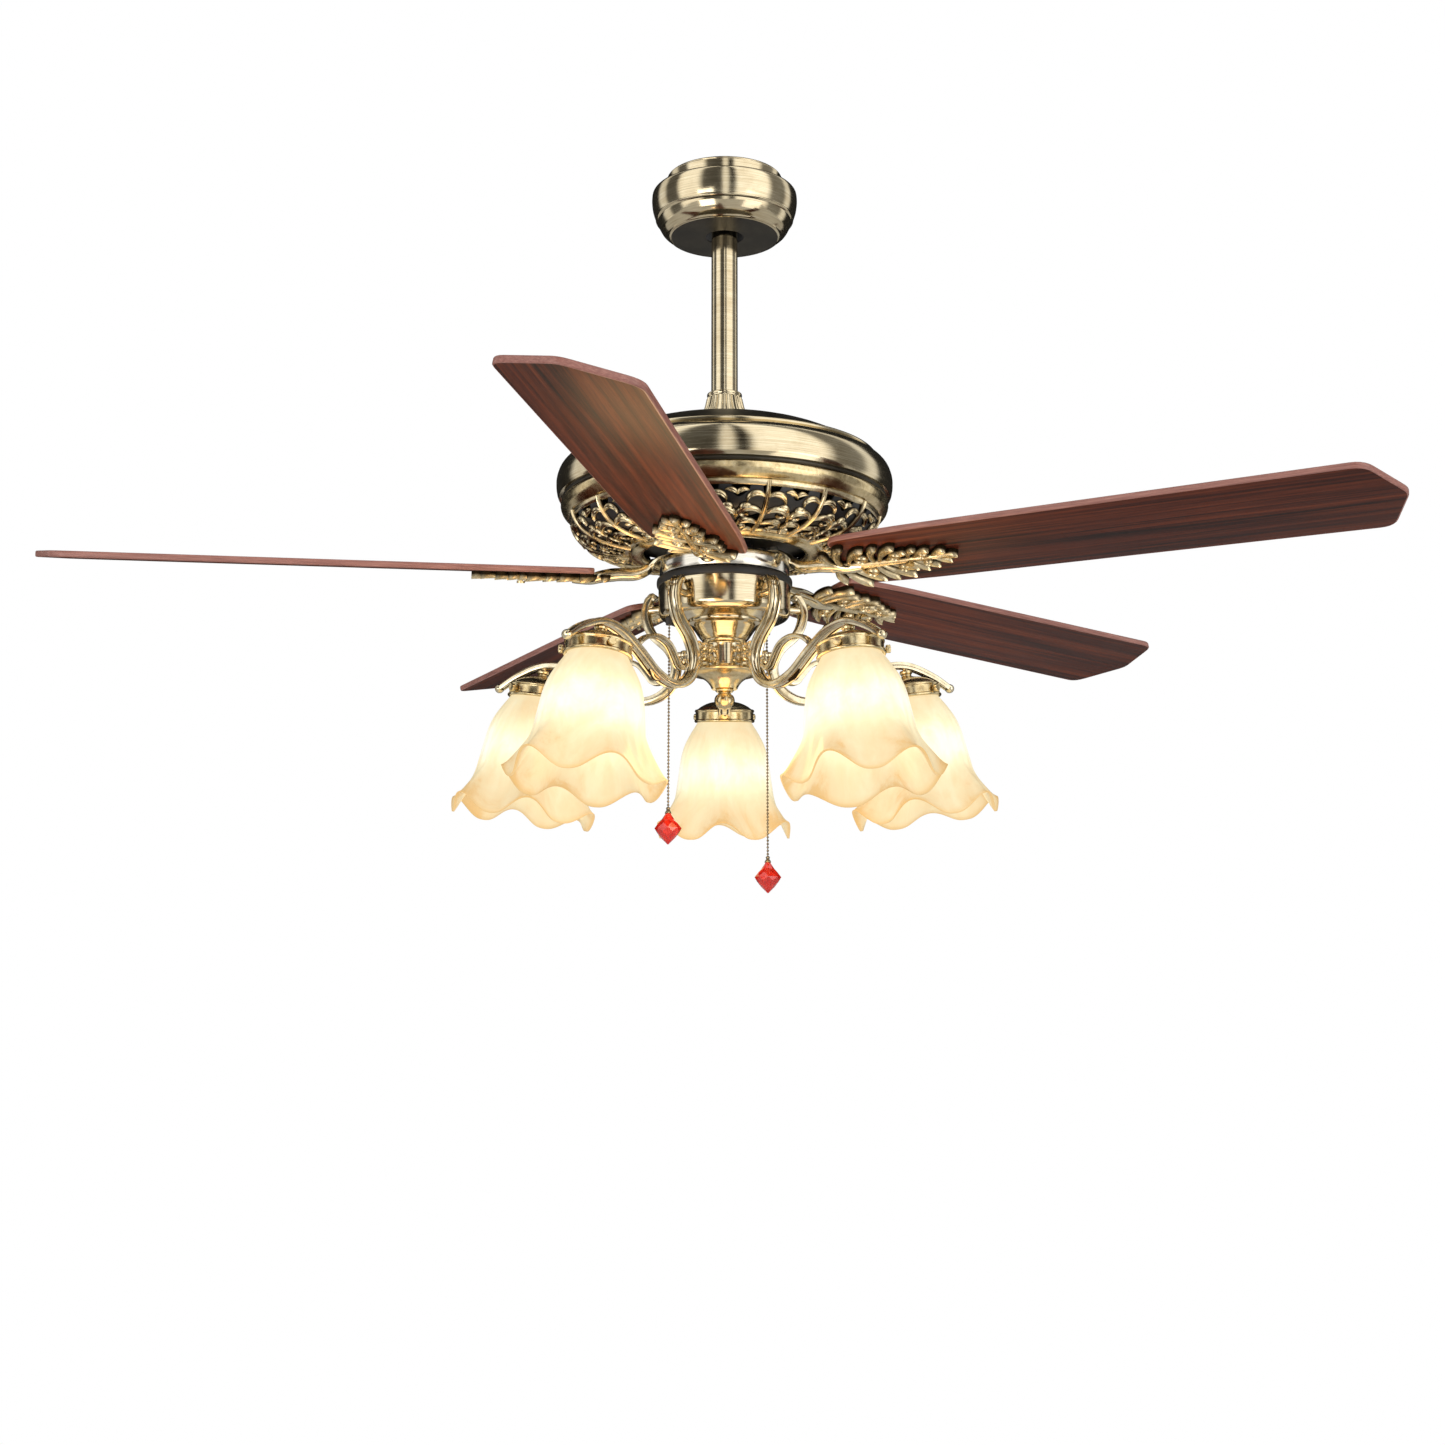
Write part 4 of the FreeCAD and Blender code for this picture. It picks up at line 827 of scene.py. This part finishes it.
def strip_along(points, width_scale, thick_scale):
    """A fluted strip in the arm's plane; scales run from its first point to its last."""
    line = curve_through(points, 5)
    path = [(x, 0.0, z) for x, z in line]
    place = np.linspace(0, 1, len(path))
    widths = np.interp(place, np.linspace(0, 1, len(width_scale)), width_scale)
    thicks = np.interp(place, np.linspace(0, 1, len(thick_scale)), thick_scale)
    return sweep(path, (0, 1, 0), STRIP, list(zip(thicks, widths)))


ARM_LINE = [(75, -55), (57, -73), (50, -92), (59, -112), (81, -121.5), (109, -115), (136, -98), (163, -83.5),
            (191, -79.5), (218, -88), (237, -99)]
ARM_TOP = spiral((76.5, -23.5), 6.2, -220, -290)[::-1] + [(75.0, -16.6), (80.6, -26.0), (81.6, -38.0)]
TENDRIL = [(141, -95), (127, -84), (109, -79.5), (91, -84), (80, -96)]
TENDRIL_END = [(75.5, -102.0), (69.0, -103.6), (64.4, -99.6), (65.6, -94.6), (69.6, -94.2), (70.4, -97.4)]


def scroll_arm():
    """The S-shaped strip with its volute and tendril, two beaded struts and two small leaves."""
    main = strip_along(ARM_TOP[-4:] + ARM_LINE, [0.86, 0.95, 1, 1, 1, 1, 0.94, 0.8],
                       [0.8, 1, 1.1, 1.1, 1, 1, 0.9, 0.7])
    volute = strip_along(ARM_TOP, [0.5, 0.8, 0.86], [0.45, 0.62, 0.8])
    tendril = strip_along(TENDRIL + TENDRIL_END, [0.62, 0.66, 0.66, 0.5], [0.5, 0.72, 0.7, 0.5])
    parts = [main, volute, tendril, ball((69.2, 0, -97.6), 3.0, 1.3), ball((77.2, 0, -22.0), 3.1, 1.5),
             ball((238.6, 0, -99.6), 4.6, 1.15), rod((65.05, 0, -30), (79.5, 0, -30), 4.0)]
    for height in (-77.0, -87.0):
        parts.append(rod((17.4, 0, height), (53.0, 0, height), 3.0))
        parts += [ball((x, 0, height), 4.6, 0.8) for x in (24.0, 33.0, 42.0)]
    leaf = [(0, 0), (6, 3.0), (12, 3.6), (18, 1.4), (22, -3.0)]
    for x, z, angle in ((118, -112, 200), (152, -88, 28)):
        line = [(px * 0.9, py * 0.9) for px, py in curve_through(leaf, 4)]
        flat = leaf_stroke(line, finger_widths(len(line), 3.0, 0.7, 0.4), ramped(len(line), 1.6, 1.0),
                           lambda a, b, c: (a, c, b), 1.4)
        parts.append(moved(flat, Matrix.Translation((x, 0, z)) @ turn(-angle, "Y")))
    return joined(*parts)


ARM_DATA = scroll_arm()
for number, azimuth in enumerate(LAMP_AZIMUTHS, start=1):
    piece(f"scroll_arm_{number}", moved(ARM_DATA, outward(azimuth)), "fan_frame", "polished_gold",
          [f"arm_{number}"], crease=42.0)


# ---------- fitters, thumb screws, shades

fitter_data = lathe(profile(
    [(0.2, -80), (3, -80)], [(3, -83.8)], [(5.6, -84.2), (6.4, -85.6), (6, -87.4), (5, -88.6)],
    [(5, -89.4)], [(5.6, -90.4), (10, -91.8), (17, -93.4), (24, -96.6), (28.4, -99.8)],
    [(30.6, -100.4), (31.6, -101.6), (31.2, -103)], [(30.6, -104), (30.6, -110.6)],
    [(31.8, -111.6), (31.8, -113), (31, -114)], [(29.2, -114)], [(29.2, -102)], [(0.2, -102)],
), 72)
piece("shade_fitters", at_lamps(fitter_data), "fan_frame", "gilt_brass", ["fitters"])


def knurl(angle, radius, height):
    return 0.22 * math.cos(12 * angle) if radius > 3.0 else 0.0


thumb = lathe([(0.05, 0), (1.45, 0.2), (1.45, 4.2), (3.5, 4.4), (3.7, 5), (3.7, 7.6), (3.4, 8.2),
               (0.05, 8.4)], 48, knurl)
thumb_group = []
for spot in (30, 150, 270):
    way = outward(spot) @ Matrix.Translation((28.2, 0, -107.6)) @ turn(90, "Y")
    thumb_group.append(moved(thumb, way))
piece("thumb_screw_knobs", at_lamps(joined(*thumb_group)), "fan_frame", "gilt_brass",
      ["thumb_screws"])

SHADE_TOP = -103.0
SHADE_PETALS = 6
SKIRT_TOP = 82.5
BELL_MOUTH = 50.6
BELL_LINE = curve_through([(0.0, 28.0), (9.0, 28.0), (14.0, 30.4), (22.6, 35.6), (34.6, 41.6), (48.0, 45.6),
                           (66.5, 48.4), (SKIRT_TOP, BELL_MOUTH)], 5)
SKIRT_STEPS = np.linspace(0, 1, 15)[1:]
# Depth at which a shade's painted glow is brightest, and how far it reaches.
LAMP_DEPTH = 62.0
GLOW_REACH = 27.0


def skirt_spot(step, crest):
    """Depth and radius on the ruffled skirt; crest is 0 in a hanging lobe and 1 on an outturned fold."""
    bottom = 133.0 - 17.5 * crest
    reach = 68.5 + 8.0 * crest
    power = 1.35 - 0.25 * crest
    depth = SKIRT_TOP + (bottom - SKIRT_TOP) * step
    radius = BELL_MOUTH + (reach - BELL_MOUTH) * step ** power
    roll = max(0.0, (step - 0.78) / 0.22) ** 2
    return depth - 2.6 * crest * roll, radius + 0.9 * crest * roll


def shade_mesh(name, azimuth, seed):
    """Tulip of pressed glass: a faintly fluted bell, then a skirt of petals that droop between folds."""
    columns = 216
    wall = 3.0
    vertices = []
    glow = []
    rows = len(BELL_LINE) + len(SKIRT_STEPS)
    for layer in (0, 1):
        for row in range(rows):
            for c in range(columns):
                angle = 2 * math.pi * c / columns
                wander = 0.16 * math.sin(angle + seed) + 0.10 * math.sin(2 * angle + 2.3 * seed)
                wave = math.cos(SHADE_PETALS * angle + wander * 2.0)
                crest = ((wave + 1) / 2) ** 1.3 * (1 + wander) / 1.2
                if row < len(BELL_LINE):
                    depth, radius = BELL_LINE[row]
                    step = 0.0
                    inside = wall
                    body = min(1.0, max(0.0, (depth - 14.0) / 20.0))
                    radius += 0.35 * body * math.cos(24 * angle)
                else:
                    step = SKIRT_STEPS[row - len(BELL_LINE)]
                    depth, radius = skirt_spot(step, crest)
                    radius += 0.35 * (1 - step) * math.cos(24 * angle)
                    inside = wall * (1 - 0.3 * step)
                reach = radius - layer * inside
                lower = depth + layer * 0.5 * inside * step * crest
                vertices.append((reach * math.cos(angle), reach * math.sin(angle), SHADE_TOP - lower, 1.0))
                # Painted light: glow is brightest round the bulb and dimmer on the skirt's outturned folds;
                # the rim mark tints the edge amber.
                near = math.exp(-((depth - LAMP_DEPTH) / GLOW_REACH) ** 2)
                fold = step * (0.24 * crest + 0.06)
                rim = max(0.0, (step - 0.9) / 0.1)
                glow.append((min(1.0, max(0.0, 0.32 + 0.68 * near - fold)), step, rim))
    faces = []
    for layer in (0, 1):
        base = layer * rows * columns
        for r in range(rows - 1):
            for c in range(columns):
                d = (c + 1) % columns
                faces.append((base + r * columns + c, base + r * columns + d,
                              base + (r + 1) * columns + d, base + (r + 1) * columns + c))
    inner = rows * columns
    for r in (0, rows - 1):
        for c in range(columns):
            d = (c + 1) % columns
            faces.append((r * columns + c, r * columns + d, inner + r * columns + d, inner + r * columns + c))
    placed, _ = moved((np.array(vertices), faces), lamp_place(azimuth))
    mesh = bpy.data.meshes.new(name)
    mesh.from_pydata([(x * MM, y * MM, z * MM + BLADE_PLANE) for x, y, z, _ in placed], [], faces)
    attribute = mesh.attributes.new("glow", "FLOAT_VECTOR", "POINT")
    attribute.data.foreach_set("vector", np.array(glow, np.float32).ravel())
    edit = bmesh.new()
    edit.from_mesh(mesh)
    bmesh.ops.recalc_face_normals(edit, faces=edit.faces)
    edit.to_mesh(mesh)
    edit.free()
    mesh.shade_smooth()
    made = linked(name, mesh)
    mesh.materials.append(MATERIALS["amber_glass"])
    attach(made, "fan_frame")
    return made


for number, azimuth in enumerate(LAMP_AZIMUTHS, start=1):
    glass = shade_mesh(f"glass_shade_{number}", azimuth, 1.7 * number)
    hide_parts(f"shade_{number}")


# ---------- blades

BLADE_TIP = 660.0
BLADE_ROOT = 131.0
BLADE_HALF = 60.0
ROOT_HALF = 47.0
BLADE_THICK = 6.0


def rounded(points, reaches, steps=6):
    """A closed outline with each corner rounded by its own reach."""
    line = []
    count = len(points)
    for i, reach in enumerate(reaches):
        before, here, after = (np.array(points[(i + k) % count], float) for k in (-1, 0, 1))
        start = here + (before - here) / np.linalg.norm(before - here) * reach
        end = here + (after - here) / np.linalg.norm(after - here) * reach
        for t in np.linspace(0, 1, steps):
            line.append((1 - t) ** 2 * start + 2 * t * (1 - t) * here + t ** 2 * end)
    return line


def blade_piece(number, azimuth):
    half_outline = [(BLADE_TIP, 0.0), (BLADE_TIP - 25, BLADE_HALF - 1.6), (BLADE_ROOT + 66, ROOT_HALF + 5),
                    (BLADE_ROOT, ROOT_HALF)]
    outline = half_outline + [(x, -y) for x, y in half_outline[:0:-1]]
    corner_reaches = [8.0, 13.0, 30.0, 11.0, 11.0, 30.0, 13.0]
    edge_line = rounded(outline, corner_reaches)
    edit = bmesh.new()
    loop = [edit.verts.new((x, y, -BLADE_THICK / 2)) for x, y in edge_line]
    lower = edit.faces.new(loop)
    grown = bmesh.ops.extrude_face_region(edit, geom=[lower])
    top = [item for item in grown["geom"] if isinstance(item, bmesh.types.BMVert)]
    bmesh.ops.translate(edit, verts=top, vec=(0, 0, BLADE_THICK))
    rims = [edge for edge in edit.edges if abs(edge.verts[0].co.z - edge.verts[1].co.z) < 1e-6]
    bmesh.ops.bevel(edit, geom=rims, offset=1.5, segments=3, affect="EDGES", profile=0.5)
    bmesh.ops.recalc_face_normals(edit, faces=edit.faces)
    # Edge faces take the lighter blade_edge material, partly a painted highlight.
    for face in edit.faces:
        face.material_index = 0 if abs(face.normal.z) > 0.97 else 1
    name = f"wood_blade_{number}"
    mesh = bpy.data.meshes.new(name)
    edit.to_mesh(mesh)
    edit.free()
    local = np.array([v.co for v in mesh.vertices])
    grain = local * MM + np.array([0.31 * number, 0.17 * number, 0.0])
    attribute = mesh.attributes.new("grain", "FLOAT_VECTOR", "POINT")
    attribute.data.foreach_set("vector", grain.astype(np.float32).ravel())
    mesh.transform(Matrix.Translation((0, 0, BLADE_PLANE)) @ outward(azimuth) @ turn(-BLADE_PITCH, "X")
                   @ Matrix.Scale(MM, 4))
    mesh.shade_smooth()
    mesh.set_sharp_from_angle(angle=math.radians(30))
    made = linked(name, mesh)
    mesh.materials.append(MATERIALS["dark_walnut"])
    mesh.materials.append(MATERIALS["blade_edge"])
    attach(made, "rotor")
    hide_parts(f"blade_{number}")


for number, azimuth in enumerate(BLADE_AZIMUTHS, start=1):
    blade_piece(number, azimuth)


# ---------- blade irons

UNDER_BLADE = -BLADE_THICK / 2
LEAF_GAP = 2.0
# The third number is relief: 1 on the faces, down to 0.6 on the narrow sides, where polished_gold paints some
# shade.
BAR = [(4.2, -5, 1), (5, -3, 1), (5.2, 0, 1), (5, 3, 1), (4.2, 5, 1), (2, 7.4, 0.8), (-2, 7.8, 0.6),
       (-4.4, 5.6, 0.8), (-5.2, 2.4, 1), (-5.4, 0, 1), (-5.2, -2.4, 1), (-4.4, -5.6, 0.8), (-2, -7.8, 0.6),
       (2, -7.4, 0.8)]


def under_blade(x, y, lift):
    """A spot on the leaf, on the pitched underside of the blade; lift points down, away from the blade."""
    pitch = math.radians(BLADE_PITCH)
    level = UNDER_BLADE - LEAF_GAP - lift
    return (x, y * math.cos(pitch) + level * math.sin(pitch), -y * math.sin(pitch) + level * math.cos(pitch))


def iron_leaf():
    """Acanthus leaf: a ribbed spine and groups of fingers that fan out, curl forward and end round."""
    spine = [(x, 0.0) for x in np.linspace(118, 236, 20)]
    strokes = [leaf_stroke(spine, ramped(20, 5.6, 2.8), ramped(20, 5.6, 4.2), under_blade, 1.9)]
    fingers = [((124, 2), 128, 30, -58, 0.4, 5.0, 6.0), ((130, 2), 100, 42, -56, 0.4, 5.4, 7.0),
               ((137, 2), 72, 40, -44, 0.4, 5.2, 6.6), ((164, 2), 100, 34, -60, 0.4, 5.0, 6.6),
               ((169, 2), 72, 39, -46, 0.4, 5.2, 7.0), ((176, 2), 46, 31, -30, 0.3, 4.6, 6.0),
               ((198, 1), 84, 25, -56, 0.4, 4.6, 6.2), ((203, 1), 54, 27, -36, 0.3, 4.6, 6.2),
               ((222, 1), 50, 20, -40, 0.3, 4.8, 5.8)]
    strokes += mirrored_strokes(fingers, under_blade, 1.9)
    tip = [(x, 0.0) for x in np.linspace(222, 248, 11)]
    strokes.append(leaf_stroke(tip, finger_widths(11, 5.0), ramped(11, 4.4, 6.0), under_blade, 1.9))
    for x, y, radius in ((155, 14, 5.4), (189, 12, 4.8), (215, 8, 3.4)):
        ring = [(x + radius * math.cos(a), y + radius * math.sin(a)) for a in np.linspace(0, 2 * math.pi, 17)]
        for hand in (-1, 1):
            line = [(px, hand * py) for px, py in ring]
            strokes.append(leaf_stroke(line, ramped(17, 1.9, 1.9), ramped(17, 5.4, 5.4), under_blade, 1.9))
    return joined(*strokes)


def iron_bar():
    """Foot on the flywheel, swan neck down and out, and a rib that dies into the leaf."""
    line = [(31, 16.6), (46, 16.6), (60, 16.4), (69.5, 11.4), (76, 4.0), (88, -1.6), (106, -2.4), (122, -5.0),
            (134, -8.6), (150, -9.6)]
    path = [(x, 0.0, z) for x, z in curve_through(line, 6)]
    place = np.linspace(0, 1, len(path))
    thick = np.interp(place, [0, 0.3, 0.45, 0.7, 0.85, 1.0], [0.46, 0.46, 1.0, 1.22, 1.0, 0.45])
    width = np.interp(place, [0, 0.04, 0.3, 0.5, 0.8, 1.0], [0.8, 1.05, 1.0, 0.95, 1.0, 0.6])
    return sweep(path, (0, 1, 0), BAR, list(zip(thick, width)))


BAR_DATA = iron_bar()
LEAF_DATA = iron_leaf()
for number, azimuth in enumerate(BLADE_AZIMUTHS, start=1):
    piece(f"leaf_iron_{number}", moved(LEAF_DATA, outward(azimuth)), "rotor", "gilt_relief",
          [f"blade_iron_{number}"], crease=48.0)
    piece(f"iron_neck_{number}", moved(BAR_DATA, outward(azimuth)), "rotor", "polished_gold",
          crease=48.0)


# ---------- the CAD pieces that stay as they are

# Pieces seen only in shade get near-black finishes in place of their own: painted shade.
SHADOWED = {"housing_filigree": "black_enamel", "hanger_ball": "black_enamel",
            "hanger_bracket": "dark_bronze"}

for entry in frame["record"]["subparts"]:
    node = frame["nodes"][entry["node"]]
    if not node.hide_render:
        finish = SHADOWED.get(entry["node"], entry["material_slot"])
        node.data.materials.clear()
        node.data.materials.append(MATERIALS[finish])


# ---------- studio

KEY_WHITE = (1.0, 0.98, 0.95)
LAMP_AMBER = (1.0, 0.62, 0.26)


def studio():
    """Pale floor, a soft sky of bright panels with dark gaps between them, and soft lamps."""
    world = bpy.data.worlds.new("studio")
    bpy.context.scene.world = world
    world.use_nodes = True
    tree = world.node_tree
    tree.nodes.clear()
    link = tree.links.new

    place = add_node(tree, "ShaderNodeTexCoord")
    parts = add_node(tree, "ShaderNodeSeparateXYZ")
    link(place.outputs["Generated"], parts.inputs[0])
    azimuth = add_node(tree, "ShaderNodeMath", operation="ARCTAN2")
    link(parts.outputs["X"], azimuth.inputs[0])
    front = add_node(tree, "ShaderNodeMath", operation="MULTIPLY")
    front.inputs[1].default_value = -1.0
    link(parts.outputs["Y"], front.inputs[0])
    link(front.outputs[0], azimuth.inputs[1])
    share = add_node(tree, "ShaderNodeMapRange", **{"From Min": -math.pi, "From Max": math.pi})
    link(azimuth.outputs[0], share.inputs["Value"])
    ramp = add_node(tree, "ShaderNodeValToRGB")
    panels = [(-180, 0.02), (-128, 0.03), (-120, 1.1), (-107, 1.1), (-100, 0.16), (-80, 0.14), (-73, 1.7),
              (-42, 1.7), (-33, 0.16), (-5, 0.10), (-1, 1.5), (5, 1.4), (9, 0.03), (15, 0.03), (21, 1.8),
              (70, 1.9), (80, 0.30), (106, 0.30), (113, 1.2), (122, 1.2), (128, 0.03), (180, 0.02)]
    fill_ramp(ramp, [((angle + 180) / 360, (level, level * 0.985, level * 0.95)) for angle, level in panels])
    link(share.outputs["Result"], ramp.inputs["Fac"])
    for_light = add_node(tree, "ShaderNodeBackground", Strength=0.85)
    link(ramp.outputs["Color"], for_light.inputs["Color"])
    for_eye = add_node(tree, "ShaderNodeBackground", Color=(1.0, 1.0, 1.0, 1.0))
    rays = add_node(tree, "ShaderNodeLightPath")
    either = add_node(tree, "ShaderNodeMixShader")
    link(rays.outputs["Is Camera Ray"], either.inputs[0])
    link(for_light.outputs[0], either.inputs[1])
    link(for_eye.outputs[0], either.inputs[2])
    output = add_node(tree, "ShaderNodeOutputWorld")
    link(either.outputs[0], output.inputs["Surface"])

    floor_mesh = bpy.data.meshes.new("floor")
    reach, level = 7.0, -2.6
    floor_mesh.from_pydata([(-reach, -reach, level), (reach, -reach, level), (reach, reach, level),
                            (-reach, reach, level)], [], [(0, 1, 2, 3)])
    floor = linked("floor", floor_mesh)
    paint = Nodes("pale_floor")
    cloud = paint.noise(paint.place(), 3.0, 2.0)
    paint.set(Base_Color=paint.ramp(cloud, [(0.3, (0.86, 0.86, 0.86)), (0.7, (0.90, 0.90, 0.90))]),
              Roughness=0.6)
    floor_mesh.materials.append(paint.material)

    for name, place_at, power, width in (("key", (-1.3, -2.2, -1.2), 14.0, 1.2),
                                         ("fill", (1.9, -1.6, -1.3), 8.0, 1.4)):
        lamp = bpy.data.lights.new(name, "AREA")
        lamp.energy = power
        lamp.size = width
        lamp.color = KEY_WHITE
        holder = linked(name, lamp)
        holder.location = place_at
        aim = Vector((0, 0, BLADE_PLANE)) - Vector(place_at)
        holder.rotation_euler = aim.to_track_quat("-Z", "Y").to_euler()


def lamp_warmth():
    """The glow of the lit lamps, gathered under the light kit and under the blade nearest the viewer."""
    for name, place_at, power in (("mouths", (0, -0.10, -0.215), 0.9),
                                  ("near_blade", (-0.10, -0.36, -0.14), 0.55)):
        lamp = bpy.data.lights.new(name, "POINT")
        lamp.energy = power
        lamp.shadow_soft_size = 0.09
        lamp.color = LAMP_AMBER
        holder = linked(name, lamp)
        holder.location = Vector(place_at) + Vector((0, 0, BLADE_PLANE))
        holder.visible_camera = False


studio()
lamp_warmth()
